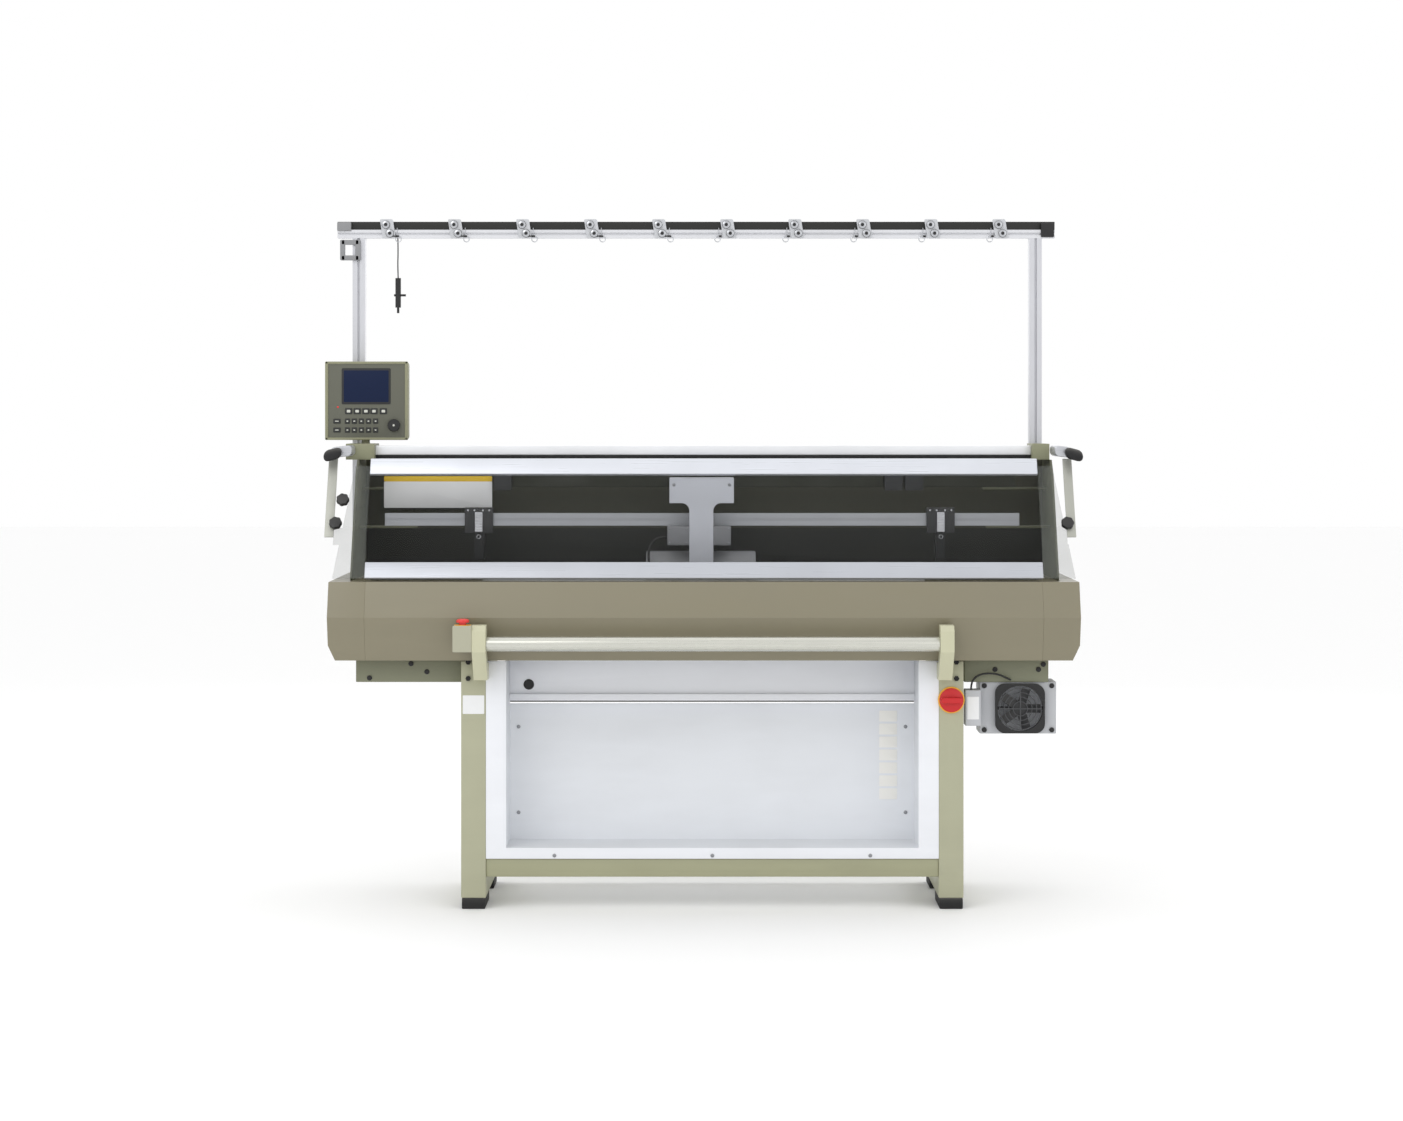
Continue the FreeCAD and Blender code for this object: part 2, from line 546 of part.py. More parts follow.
# Carriage: cam plates that run on the guides, a bridge over the rails, and its boxes.
def cam_outline(sign):
    def across(out):
        return "bed_middle + (%d) * (%s)" % (sign, out)
    inner = "fabric_gap / 2 + bed_lip"
    outer = "fabric_gap / 2 + bed_run + guide_inset + guide_width"
    heel = "fabric_gap / 2 + bed_run"
    crest = beam_top + " + bed_rise + cam_gap"
    shoe = beam_top + " + guide_height + gap"
    drop = "bed_run - bed_lip"
    return [(across(outer), shoe), (across(heel), shoe), (across(inner), crest),
            (across(inner), crest + " + cam_thick"),
            (across(heel), crest + " + cam_thick - (%s)" % drop),
            (across(outer), crest + " + cam_thick - (%s)" % drop)]


node("cam_plates", *[profile("cam_plate", "YZ", cam_outline(sign), "carriage_width",
                             "carriage_left") for sign in (-1, 1)])


def arch_outline():
    """The bridge seen from the side: two legs that stand on the sloping plates."""
    top_line = beam_top + " + bed_rise + cam_gap + cam_thick + fabric_gap / 2 + bed_lip"
    near, far = "bridge_front", "bridge_front + bridge_depth"

    def on_plate(y, sign):
        return "%s - (%d) * (%s - bed_middle)" % (top_line, sign, y)
    near_in, far_in = near + " + bridge_wall", far + " - bridge_wall"
    return [(near, on_plate(near, -1)), (near_in, on_plate(near_in, -1)),
            (near_in, "bridge_inner_top"), (far_in, "bridge_inner_top"),
            (far_in, on_plate("(" + far_in + ")", 1)), (far, on_plate("(" + far + ")", 1)),
            (far, "bridge_top"), (near, "bridge_top")]


stem_right = "stem_left + stem_width"
head_right = "head_left + head_width"
tee = profile("tee", "XZ", [
    ("stem_left", beam_top), (stem_right, beam_top), (stem_right, "bridge_neck"),
    (head_right, "bridge_neck"), (head_right, "bridge_top"), ("head_left", "bridge_top"),
    ("head_left", "bridge_neck"), ("stem_left", "bridge_neck")], "bridge_depth", "bridge_front")


def at_neck(edge):
    middle = edge.CenterOfMass
    along_y = abs(edge.Vertexes[0].Z - edge.Vertexes[-1].Z) < 1 and edge.Length > 100
    inside = size("head_left") + 5 < middle.x < size("head_left") + size("head_width") - 5
    return along_y and inside and abs(middle.z - size("bridge_neck")) < 1 and (
        abs(edge.Vertexes[0].X - edge.Vertexes[-1].X) < 1)


arch = profile("arch", "YZ", arch_outline(), "head_width", "head_left")
node("carriage_bridge", common("bridge", rounded("tee_rounded", tee, "neck_round", at_neck), arch))
node("carriage_boxes",
     box("box_left", ("stem_left - box_left_width", "bridge_front", "box_bottom"),
         ("box_left_width", "box_depth", "box_height")),
     box("box_right", (stem_right, "bridge_front", "box_bottom"),
         ("box_right_width", "box_depth", "box_height")))
node("carriage_cable", tube("carriage_cable", [
    (-114, -25, 1132), (-134, -25, 1132), (-156, -27, 1123), (-170, -31, 1100),
    (-173, -35, 1075), (-171, -38, 1049)], size("cable_radius")))

# Drive: a belt behind the beds pulls the carriage from a motor at the left end.
belt_top = "pulley_height + pulley_radius"


def belt_loop(name, radius):
    runs = box(name + "_run", ("-pulley_centre", "belt_front", "pulley_height - (%s)" % radius),
               ("2 * pulley_centre", "belt_width", "2 * (%s)" % radius))
    ends = [cylinder(name + "_end", ("(%d) * pulley_centre" % sign, "belt_front", "pulley_height"),
                     "Y", radius, "belt_width") for sign in (-1, 1)]
    return fuse(name, [runs] + ends)


node("drive_belt", cut("belt", belt_loop("belt_outside", "pulley_radius + belt_thick"),
                       belt_loop("belt_inside", "pulley_radius")))


def pulley(name, sign):
    x = "(%d) * pulley_centre" % sign
    return fuse(name, [
        cylinder(name + "_wheel", (x, "belt_front", "pulley_height"), "Y",
                 "pulley_radius - gap", "belt_width"),
        cylinder(name + "_shaft", (x, "belt_front", "pulley_height"), "Y",
                 "shaft_radius", "shaft_length")])


def bearing_block(name, x, sign):
    block = box(name + "_block", (x, "motor_front", "pulley_height - motor_height / 2"),
                ("motor_width", "motor_length", "motor_height"))
    bore = cylinder(name + "_bore", ("(%d) * pulley_centre" % sign, "motor_front - past",
                                     "pulley_height"), "Y", "shaft_radius + fit",
                    "shaft_length + past")
    return cut(name, block, bore)


node("drive_pulley", pulley("drive_wheel", -1))
node("idler_pulley", pulley("idler_wheel", 1))
node("drive_motor", bearing_block("motor", "beam_left", -1))
node("idler_block", bearing_block("idler_bearing", "beam_right - motor_width", 1))


# Yarn carriers hang on the rails and slide along them.
def carrier(name, left):
    finger = left + " + (carrier_width - finger_width) / 2"
    face = box(name + "_face", (left, rail_front + " - gap - carrier_thick", "carrier_low"),
               ("carrier_width", "carrier_thick",
                "front_rail_bottom + rail_height + gap + carrier_top - carrier_low"))
    hook = box(name + "_hook", (left, rail_front + " - gap - carrier_thick",
                                "front_rail_bottom + rail_height + gap"),
               ("carrier_width", "carrier_thick + rail_depth + gap", "carrier_top"))
    foot = box(name + "_foot", (finger, rail_front + " - gap - carrier_thick", "carrier_low"),
               ("finger_width", "carrier_thick + gap + rail_depth", "carrier_foot"))
    tip = box(name + "_finger", (finger, rail_front, "finger_foot"),
              ("finger_width", "rail_depth", "carrier_low - finger_foot"))
    return fuse(name, [face, hook, foot, tip])


node("yarn_carrier_left", carrier("left_carrier", "carrier_left"))
node("yarn_carrier_right", carrier("right_carrier", "carrier_right"))
rear_carriers = []
for x in ("rear_carrier_left", "rear_carrier_right", "rear_carrier_right + rear_carrier_pitch"):
    rear_carriers.append(box("rear_carrier", (x, "rear_rail_front - carrier_thick",
                                              "rear_rail_bottom - rear_carrier_drop"),
                             ("rear_carrier_width", "carrier_thick",
                              "rail_height + rear_carrier_drop")))
node("rear_carriers", *rear_carriers)


# Hood: rails, window, shields and side arms share one sloping plane and turn on two pins.
def hood_bar(name, low, width="2 * hood_half", start="-hood_half"):
    return profile(name, "XZ", [
        (start, low), (start + " + " + width, low), (start + " + " + width, low + " + hood_rail"),
        (start, low + " + hood_rail")], "hood_rail_thick")


node("hood_bottom_rail", lean(hood_bar("bottom_rail", "-hood_rail / 2")))
node("hood_top_rail", lean(hood_bar("top_rail", "hood_length - hood_rail / 2")))
node("hood_window", lean(profile("window", "XZ", [
    ("-hood_half", "hood_rail / 2"), ("hood_half", "hood_rail / 2"),
    ("hood_half", "hood_length - hood_rail / 2"), ("-hood_half", "hood_length - hood_rail / 2")],
    "window_thick")))


def shield(side, sign, arm_edge):
    """A clear end sheet that widens to its foot, with a tab that reaches its side arm."""
    inner, foot = "(%d) * hood_half" % sign, "-hood_rail / 2"
    slope = "(shield_low_out - shield_top_out) / (hood_length + hood_rail / 2)"

    def edge(up):
        """The sloping outer edge's place at a height up the sheet."""
        return "(%d) * (hood_half + shield_low_out - %s * (%s + hood_rail / 2))" % (sign, slope, up)
    return lean(profile(side + "_shield", "XZ", [
        (inner, foot), ("(%d) * (hood_half + shield_low_out)" % sign, foot),
        (edge("shield_tab_low"), "shield_tab_low"), (arm_edge, "shield_tab_low"),
        (arm_edge, "shield_tab_high"), (edge("shield_tab_high"), "shield_tab_high"),
        (edge("hood_length"), "hood_length"), (inner, "hood_length")], "shield_thick"))


node("end_shields", shield("left", -1, "arm_left + arm_width"), shield("right", 1, "arm_right"))


arm_end = "(lever_bottom - gap - hood_foot_height) / cos(hood_lean)"


def arm(side, left):
    return lean(profile(side + "_arm", "XZ", [
        (left, "arm_start"), (left + " + arm_width", "arm_start"),
        (left + " + arm_width", arm_end), (left, arm_end)], "arm_thick"))


node("hood_arms", arm("left", "arm_left"), arm("right", "arm_right"))


def lever(side, low, high, pin_start):
    return fuse(side + "_lever", [
        box(side + "_lever_bar", (low, "lever_front", "lever_bottom"),
            ("(%s) - (%s)" % (high, low), "lever_depth", "lever_height")),
        cylinder(side + "_pin", (pin_start, "pivot_out", "pivot_height"), "X",
                 "pivot_radius", "pivot_depth + pin_root")])


node("hood_levers",
     lever("left", "arm_left", "bracket_left_out - gap", "bracket_left_out - pin_root"),
     lever("right", "lever_right_in", "lever_right_out", "bracket_right_out - pivot_depth"))
node("hood_grips", *[rounded(side + "_grip_round", box(
    side + "_grip", (x, "lever_front - grip_depth", "grip_bottom"),
    ("grip_width", "grip_depth", "grip_height")), "grip_round") for side, x in (
        ("left", "arm_left - grip_past_left"),
        ("right", "lever_right_out + grip_past_right - grip_width"))])


def hood_knob(side, x, along):
    """A round knob on the front of a side arm and its shield."""
    turn = FreeCAD.Rotation(V(1, 0, 0), -size("hood_lean"))
    item = doc.addObject("Part::Cylinder", side + "_hood_knob")
    item.setExpression("Radius", bound("knob_radius"))
    item.setExpression("Height", bound("knob_length"))
    item.Placement = FreeCAD.Placement(V(0, 0, 0), turn * FreeCAD.Rotation(V(1, 0, 0), 90))
    item.setExpression("Placement.Base.x", bound(x))
    item.setExpression("Placement.Base.y", bound("hood_foot_out + (%s) * sin(hood_lean)" % along))
    item.setExpression("Placement.Base.z",
                       bound("hood_foot_height + (%s) * cos(hood_lean)" % along))
    return item


node("hood_knobs", hood_knob("left_low", "arm_left + knob_in_low", "arm_start + knob_first"),
     hood_knob("left_high", "arm_left + knob_in_high", "arm_start + knob_second"),
     hood_knob("right_low", "arm_right + knob_in_right", "arm_start + knob_first"))

# Yarn stand: two posts carry a beam with ten tension units along it.
post_height = "beam_bottom - post_foot"
node("stand_posts", *[box("post", (x, "post_front", "post_foot"),
                          ("post_size", "post_size", post_height))
                      for x in ("post_left", "post_right")])
node("stand_beam", box("beam_low", ("stand_left", "post_front", "beam_bottom"),
                       ("stand_width", "post_size", "stand_beam_height")))
node("stand_rail", box("beam_high", ("stand_left", "post_front + stand_rail_inset",
                                     "beam_bottom + stand_beam_height"),
                       ("stand_width", "post_size - 2 * stand_rail_inset", "stand_rail_height")))


def tension_unit(number):
    middle = "unit_first + %d * unit_pitch" % number
    front = "post_front - unit_thick"
    plate = box("unit_plate", (middle + " - unit_width / 2", front, "unit_bottom"),
                ("unit_width", "unit_thick", "unit_height"))
    discs = [cylinder("unit_disc", (middle + " + " + across, front + " - unit_disc_length",
                                    "unit_bottom + " + up), "Y", "unit_disc", "unit_disc_length")
             for across, up in (("high_disc_across", "high_disc_up"),
                                ("low_disc_across", "low_disc_up"))]
    side = 1 if number < size("unit_count") / 2 else -1
    arm = box("unit_arm", (
        middle + " + (%d) * (unit_width / 2 + unit_arm_out) - unit_arm_length / 2" % side, front,
        "unit_bottom + unit_arm_up"), ("unit_arm_length", "unit_thick", "unit_arm_height"))
    eyelet = doc.addObject("Part::Torus", "unit_eyelet")
    eyelet.setExpression("Radius1", bound("eyelet_radius"))
    eyelet.setExpression("Radius2", bound("eyelet_wire"))
    place(eyelet, (middle + " + (%d) * (unit_width / 2 + eyelet_out)" % side,
                   front + " + unit_thick / 2", "unit_bottom + unit_arm_up - eyelet_radius"),
          V(1, 0, 0), 90)
    return fuse("tension_unit", [plate, arm, eyelet] + discs)


node("tension_units", *[tension_unit(number) for number in range(int(size("unit_count")))])

# Operating bar: turns a little on two pins between its brackets.
lug_front, lug_back = "bar_out - lug_front", "bar_out + lug_back"
lug_outline = [(lug_front, "estop_bottom"), (lug_front, "bar_height + lug_shoulder"),
               ("bar_out - lug_brow", "bar_height + lug_top"),
               (lug_back, "bar_height + lug_top"), (lug_back, "estop_bottom"),
               ("bar_out + lug_foot_back", "cover_bottom - lug_foot_drop"),
               ("leg_front", "cover_bottom - lug_leg_drop"),
               ("leg_front", "cover_bottom - lug_foot_low"),
               ("bar_out + lug_foot_nose", "cover_bottom - lug_foot_low")]


def bar_bracket(side, low):
    plate = profile(side + "_lug", "YZ", lug_outline, "bracket_width", low)
    bore = cylinder(side + "_lug_bore", (low + " - past", "bar_out", "bar_height"), "X",
                    "shaft_radius + fit", "bracket_width + 2 * past")
    return cut(side + "_bar_bracket", plate, bore)


node("bar_brackets", bar_bracket("left", "bar_left - bracket_width"),
     bar_bracket("right", "bar_right"))
node("operating_bar", fuse("bar", [
    cylinder("bar_tube", ("bar_left + gap", "bar_out", "bar_height"), "X", "bar_radius",
             "bar_right - bar_left - 2 * gap"),
    cylinder("bar_pins", ("bar_left - bracket_width + bar_pin_short", "bar_out", "bar_height"),
             "X", "shaft_radius", "bar_right - bar_left + 2 * bracket_width - 2 * bar_pin_short")]))

estop_left = "bar_left - bracket_width - estop_width"
estop_top = "estop_bottom + estop_height"
estop_x = estop_left + " + estop_width / 2"
estop_y = "bar_out + cap_back"
stem_start = estop_top + " - cap_stem_length"
estop_block = rounded("estop_rounded", box(
    "estop", (estop_left, "bar_out - estop_front", "estop_bottom"),
    ("estop_width", "estop_depth", "estop_height")), "estop_round")
node("estop_box", cut("estop_bored", estop_block, cylinder(
    "estop_bore", (estop_x, estop_y, stem_start + " - cap_lift"), "Z", "cap_stem_radius + gap",
    "cap_stem_length + cap_lift + past")))
node("estop_button", fuse("button", [
    cylinder("button_stem", (estop_x, estop_y, stem_start), "Z", "cap_stem_radius",
             "cap_stem_length + cap_lift"),
    cylinder("button_cap", (estop_x, estop_y, estop_top + " + cap_lift"), "Z", "cap_radius",
             "cap_height")]))

# Main switch on the right leg.
node("switch_plate", cut("plate_bored", box(
    "plate",
    ("switch_x - switch_size / 2", "leg_front - switch_thick", "switch_z - switch_size / 2"),
    ("switch_size", "switch_thick", "switch_size")), cylinder(
    "plate_bore", ("switch_x", "leg_front - switch_thick - past", "switch_z"), "Y",
    "shaft_radius + fit", "switch_thick + 2 * past")))
knob_back = "leg_front - switch_thick - gap"
node("switch_knob", fuse("switch", [
    cylinder("switch_disc", ("switch_x", knob_back + " - switch_disc", "switch_z"), "Y",
             "switch_radius", "switch_disc"),
    box("switch_handle", ("switch_x - switch_radius + handle_inset",
                          knob_back + " - switch_knob_length", "switch_z - handle_height / 2"),
        ("2 * switch_radius - 2 * handle_inset", "switch_knob_length - switch_disc",
         "handle_height")),
    cylinder("switch_shaft", ("switch_x", knob_back + " - past", "switch_z"), "Y",
             "shaft_radius", "switch_thick + past")]))

# Fan box below the right end, hung on the box above it, with its fan and a small box beside it.
fan_front = "under_front + fan_set_back"
box_top = "bed_bottom - under_height"
fan_block = box("fan_block", ("fan_box_left", fan_front, "fan_box_bottom"),
                ("fan_box_width", "fan_box_depth", "%s - fan_box_bottom" % box_top))
node("fan_box", cut("fan_box_cut", fan_block, cylinder(
    "fan_cavity", ("fan_x", fan_front + " - past", "fan_z"), "Y", "fan_radius + fan_tip_room",
    "fan_cavity + past")))
frame_block = box("fan_frame_block", ("fan_x - fan_frame", fan_front + " - fan_frame_depth",
                                      "fan_z - fan_frame"),
                  ("2 * fan_frame", "fan_frame_depth", "2 * fan_frame"))


def fan_corner(edge):
    return abs(edge.Vertexes[0].Y - edge.Vertexes[-1].Y) > 1


frame_hole = cylinder("fan_frame_hole", ("fan_x", fan_front + " - fan_frame_depth - past", "fan_z"),
                      "Y", "fan_radius + fan_tip_room", "fan_frame_depth + 2 * past")
strut = box("fan_strut", ("fan_x - fan_radius - strut_root", fan_front + " - strut_thick",
                          "fan_z - strut_width / 2"),
            ("2 * fan_radius + 2 * strut_root", "strut_thick", "strut_width"))
strut_bore = cylinder("strut_bore", ("fan_x", fan_front + " - strut_thick - past", "fan_z"), "Y",
                      "axle_radius + fit", "strut_thick + 2 * past")
node("fan_frame", fuse("fan_frame_whole", [
    cut("fan_frame_ring", rounded("fan_frame_rounded", frame_block, "fan_frame_round", fan_corner),
        frame_hole), cut("fan_strut_bored", strut, strut_bore)]))
rotor_front = fan_front + " - fan_frame_depth + rotor_set_back"


def fan_blade(number):
    """A flat blade, tilted about its own length and set round the hub."""
    blade = doc.addObject("Part::Box", "blade")
    blade.setExpression("Length", bound("fan_radius - blade_tip_gap - hub_radius + blade_root"))
    blade.setExpression("Width", bound("blade_thick"))
    blade.setExpression("Height", bound("blade_chord"))
    around = FreeCAD.Rotation(V(0, 1, 0), 360 * number / size("blade_count"))
    turn = around * FreeCAD.Rotation(V(1, 0, 0), size("blade_tilt"))
    corner = turn.multVec(V(size("hub_radius") - size("blade_root"),
                            -size("blade_thick") / 2, -size("blade_chord") / 2))
    blade.Placement = FreeCAD.Placement(V(0, 0, 0), turn)
    middle = ("fan_x", rotor_front + " + hub_depth / 2", "fan_z")
    for letter, words, away in zip("xyz", middle, corner):
        blade.setExpression("Placement.Base." + letter, bound("%s + (%.9f)" % (words, away)))
    return blade


node("fan_rotor", fuse("rotor", [
    cylinder("fan_hub", ("fan_x", rotor_front, "fan_z"), "Y", "hub_radius", "hub_depth"),
    cylinder("fan_axle", ("fan_x", rotor_front, "fan_z"), "Y", "axle_radius",
             "fan_frame_depth - rotor_set_back - axle_short")]
    + [fan_blade(number) for number in range(int(size("blade_count")))]))
node("brake_box", box(
    "brake", ("fan_box_left - brake_width", "leg_front + brake_set_back", "brake_bottom"),
    ("brake_width", "brake_depth", "brake_height")))
node("box_cables", tube("box_cables", [
    (822, -175, 669), (822, -175, 688), (834, -177, 708), (856, -178, 718), (882, -178, 720),
    (908, -176, 716), (930, -172, 706), (945, -165, 698)], size("lead_radius")))

# Control panel on a neck that turns in the left bracket.
node("panel_housing", fuse("housing", [
    rounded("panel_round", box("panel", ("panel_left", "panel_front", "panel_bottom"),
                               ("panel_width", "panel_depth", "panel_height")), "panel_round"),
    cylinder("panel_neck", ("neck_x", "panel_front + panel_depth / 2",
                            "plate_top + bracket_height - neck_socket + gap"), "Z", "neck_radius",
             "panel_bottom - plate_top - bracket_height + neck_socket - gap + neck_root")]))
node("panel_dial", cylinder("dial", ("dial_x", "panel_front - gap - dial_length", "dial_z"), "Y",
                            "dial_radius", "dial_length"))

# Threading tool, hung from the beam on its cord.
node("threading_tool", fuse("tool", [
    cylinder("tool_body", ("tool_x", "tool_y", "tool_top - tool_length"), "Z", "tool_radius",
             "tool_length"),
    box("tool_cross", ("tool_x - cross_left", "tool_y - cross_depth / 2", "tool_top - cross_down"),
        ("cross_width", "cross_depth", "cross_height")),
    cylinder("tool_hook", ("tool_x", "tool_y", "tool_top - tool_length - hook_drop"), "Z",
             "hook_radius", "hook_drop + hook_root")]))
node("tool_cord", tube("tool_cord", [
    (-986, 268, 2083), (-985, 268, 2040), (-986.5, 268.5, 1998), (-985, 268, 1955)],
    size("hang_radius")))

doc.recompute()
for item in doc.Objects:
    if any(word in item.State for word in ("Invalid", "Error")):
        raise SystemExit("%s failed: %s" % (item.Name, item.State))
for item in PARTS:
    if item.Shape.isNull() or not item.Shape.isValid():
        raise SystemExit("%s has no valid shape" % item.Label)
os.makedirs("parts", exist_ok=True)
for item in PARTS:
    item.Shape.exportStep("parts/%s.step" % item.Label)
print(len(PARTS), "sub-parts,", sum(len(item.Shape.Solids) for item in PARTS), "solids")
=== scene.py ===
import json

import bmesh
import bpy
import numpy as np
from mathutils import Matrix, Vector


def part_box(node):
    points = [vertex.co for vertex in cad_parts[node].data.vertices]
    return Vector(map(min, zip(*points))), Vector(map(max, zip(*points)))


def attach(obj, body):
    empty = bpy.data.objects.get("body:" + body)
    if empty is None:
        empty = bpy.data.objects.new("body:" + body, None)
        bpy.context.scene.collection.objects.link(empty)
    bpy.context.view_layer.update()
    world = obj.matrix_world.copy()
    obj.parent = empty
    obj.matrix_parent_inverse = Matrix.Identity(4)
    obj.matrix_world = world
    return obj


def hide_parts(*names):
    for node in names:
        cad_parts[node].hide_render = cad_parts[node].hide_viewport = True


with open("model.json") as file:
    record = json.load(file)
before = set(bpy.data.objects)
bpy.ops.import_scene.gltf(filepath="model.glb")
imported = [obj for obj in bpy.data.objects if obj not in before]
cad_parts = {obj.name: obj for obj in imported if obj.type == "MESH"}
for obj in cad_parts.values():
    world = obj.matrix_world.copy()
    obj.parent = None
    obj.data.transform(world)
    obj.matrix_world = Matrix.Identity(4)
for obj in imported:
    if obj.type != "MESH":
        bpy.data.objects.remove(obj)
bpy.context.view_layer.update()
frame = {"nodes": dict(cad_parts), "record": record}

# Leg frames, crossbars: square steel tube, welded into rings and painted a pale olive. The paint is
# sprayed, so it has a faint orange-peel skin and gathers dust on what faces up. Edges are rounded
# where the tube was drawn, about 3 mm on the legs.


def effect(name, inputs, outputs):
    """An empty shader node group with named sockets, and its two end nodes."""
    tree = bpy.data.node_groups.new(name, "ShaderNodeTree")
    for label, kind, value in inputs:
        socket = tree.interface.new_socket(name=label, in_out="INPUT", socket_type=kind)
        socket.default_value = value
    for label, kind in outputs:
        tree.interface.new_socket(name=label, in_out="OUTPUT", socket_type=kind)
    return tree, tree.nodes.new("NodeGroupInput"), tree.nodes.new("NodeGroupOutput")


def noise(tree, scale, detail, stretch=(1, 1, 1)):
    """Noise on Object coordinates, drawn out by its stretch: three numbers, or a socket."""
    place = tree.nodes.new("ShaderNodeTexCoord")
    turn = tree.nodes.new("ShaderNodeMapping")
    if isinstance(stretch, tuple):
        turn.inputs["Scale"].default_value = stretch
    else:
        tree.links.new(stretch, turn.inputs["Scale"])
    grain = tree.nodes.new("ShaderNodeTexNoise")
    grain.inputs["Scale"].default_value = scale
    grain.inputs["Detail"].default_value = detail
    tree.links.new(place.outputs["Object"], turn.inputs["Vector"])
    tree.links.new(turn.outputs["Vector"], grain.inputs["Vector"])
    return grain.outputs["Fac"]


def ranged(tree, value, low, high):
    """Stretches the middle of a noise value over low to high."""
    node = tree.nodes.new("ShaderNodeMapRange")
    node.inputs["From Min"].default_value = 0.3
    node.inputs["From Max"].default_value = 0.7
    node.inputs["To Min"].default_value = low
    node.inputs["To Max"].default_value = high
    tree.links.new(value, node.inputs["Value"])
    return node.outputs["Result"]


def arithmetic(tree, kind, first, second):
    """One sum of two values, each a number or a socket."""
    node = tree.nodes.new("ShaderNodeMath")
    node.operation = kind
    for socket, value in zip(node.inputs, (first, second)):
        if isinstance(value, (int, float)):
            socket.default_value = value
        else:
            tree.links.new(value, socket)
    return node.outputs[0]


def shaded(tree, colour, amount, towards):
    """Mixes a colour towards another by an amount that varies over the surface."""
    mix = tree.nodes.new("ShaderNodeMix")
    mix.data_type = "RGBA"
    tree.links.new(amount, mix.inputs["Factor"])
    tree.links.new(colour, mix.inputs["A"])
    mix.inputs["B"].default_value = towards
    return mix.outputs["Result"]


def build_skin():
    """Sprayed or moulded skin: broad soiling, dust on upward faces, and a fine bumpy grain."""
    tree, given, result = effect("skin", [
        ("Colour", "NodeSocketColor", (1, 1, 1, 1)), ("Soiling", "NodeSocketFloat", 0.1),
        ("Dust", "NodeSocketFloat", 0.1), ("Roughness", "NodeSocketFloat", 0.45)],
        [("Colour", "NodeSocketColor"), ("Roughness", "NodeSocketFloat"),
         ("Grain", "NodeSocketFloat")])
    broad = ranged(tree, noise(tree, 3.5, 5), 0, 1)
    smears = ranged(tree, noise(tree, 9, 6, (0.4, 0.4, 1.6)), 0, 1)
    smudge = arithmetic(tree, "MULTIPLY", broad, smears)
    soil = arithmetic(tree, "MULTIPLY", smudge, given.outputs["Soiling"])
    facing = tree.nodes.new("ShaderNodeNewGeometry")
    split = tree.nodes.new("ShaderNodeSeparateXYZ")
    tree.links.new(facing.outputs["Normal"], split.inputs["Vector"])
    up = arithmetic(tree, "MAXIMUM", split.outputs["Z"], 0.0)
    settled = arithmetic(tree, "MULTIPLY", up, smears)
    dust = arithmetic(tree, "MULTIPLY", settled, given.outputs["Dust"])
    soiled = shaded(tree, given.outputs["Colour"], soil, (0.10, 0.09, 0.07, 1))
    dusty = shaded(tree, soiled, dust, (0.62, 0.60, 0.56, 1))
    rough = arithmetic(tree, "ADD", given.outputs["Roughness"],
                       arithmetic(tree, "MULTIPLY", smears, 0.12))
    grain = noise(tree, 420, 2)
    for value, label in ((dusty, "Colour"), (rough, "Roughness"), (grain, "Grain")):
        tree.links.new(value, result.inputs[label])
    return tree


def build_brushing():
    """Drawn metal: hair-fine streaks along the drawn way, and broad patches from handling."""
    tree, given, result = effect("brushing", [
        ("Colour", "NodeSocketColor", (1, 1, 1, 1)), ("Roughness", "NodeSocketFloat", 0.3),
        ("Stretch", "NodeSocketVector", (0.01, 1, 1))],
        [("Colour", "NodeSocketColor"), ("Roughness", "NodeSocketFloat"),
         ("Grain", "NodeSocketFloat")])
    streaks = noise(tree, 420, 2, given.outputs["Stretch"])
    patches = ranged(tree, noise(tree, 6, 4), 0, 0.10)
    colour = shaded(tree, given.outputs["Colour"], patches, (0.22, 0.22, 0.22, 1))
    rough = arithmetic(tree, "ADD", given.outputs["Roughness"], ranged(tree, streaks, -0.03, 0.05))
    for value, label in ((colour, "Colour"), (rough, "Roughness"), (streaks, "Grain")):
        tree.links.new(value, result.inputs[label])
    return tree


SKIN = build_skin()
BRUSHING = build_brushing()


def srgb(red, green, blue):
    """A colour as a painter's chart gives it, from 0 to 255, in the shader's linear scale."""
    levels = np.array([red, green, blue]) / 255
    linear = np.where(levels < 0.04045, levels / 12.92, ((levels + 0.055) / 1.055) ** 2.4)
    return (*linear.tolist(), 1)


def finish(name, colour, group, relief, values, metallic=0.0, coat=0.0):
    """A material: the shader with a group for its varying colour, roughness and fine relief."""
    made = bpy.data.materials.new(name)
    made.use_nodes = True
    tree = made.node_tree
    shader = tree.nodes["Principled BSDF"]
    shader.inputs["Metallic"].default_value = metallic
    shader.inputs["Coat Weight"].default_value = coat
    skin = tree.nodes.new("ShaderNodeGroup")
    skin.node_tree = group
    skin.inputs["Colour"].default_value = colour
    for label, value in values.items():
        skin.inputs[label].default_value = value
    bump = tree.nodes.new("ShaderNodeBump")
    bump.inputs["Strength"].default_value = relief
    bump.inputs["Distance"].default_value = 0.0005
    tree.links.new(skin.outputs["Colour"], shader.inputs["Base Color"])
    tree.links.new(skin.outputs["Roughness"], shader.inputs["Roughness"])
    tree.links.new(skin.outputs["Grain"], bump.inputs["Height"])
    tree.links.new(bump.outputs["Normal"], shader.inputs["Normal"])
    return made


def paint(name, colour, roughness=0.42, soiling=0.14, dust=0.18, relief=0.12, coat=0.0):
    """Sprayed paint, moulded plastic or rubber, with its own amount of soil and dust."""
    values = {"Soiling": soiling, "Dust": dust, "Roughness": roughness}
    return finish(name, colour, SKIN, relief, values, coat=coat)


def metal(name, colour, roughness=0.3, relief=0.03, metallic=1.0, drawn=(0.01, 1, 1)):
    """Drawn metal, streaked along X, or along the axis whose stretch is the small one."""
    values = {"Roughness": roughness, "Stretch": drawn}
    return finish(name, colour, BRUSHING, relief, values, metallic=metallic)


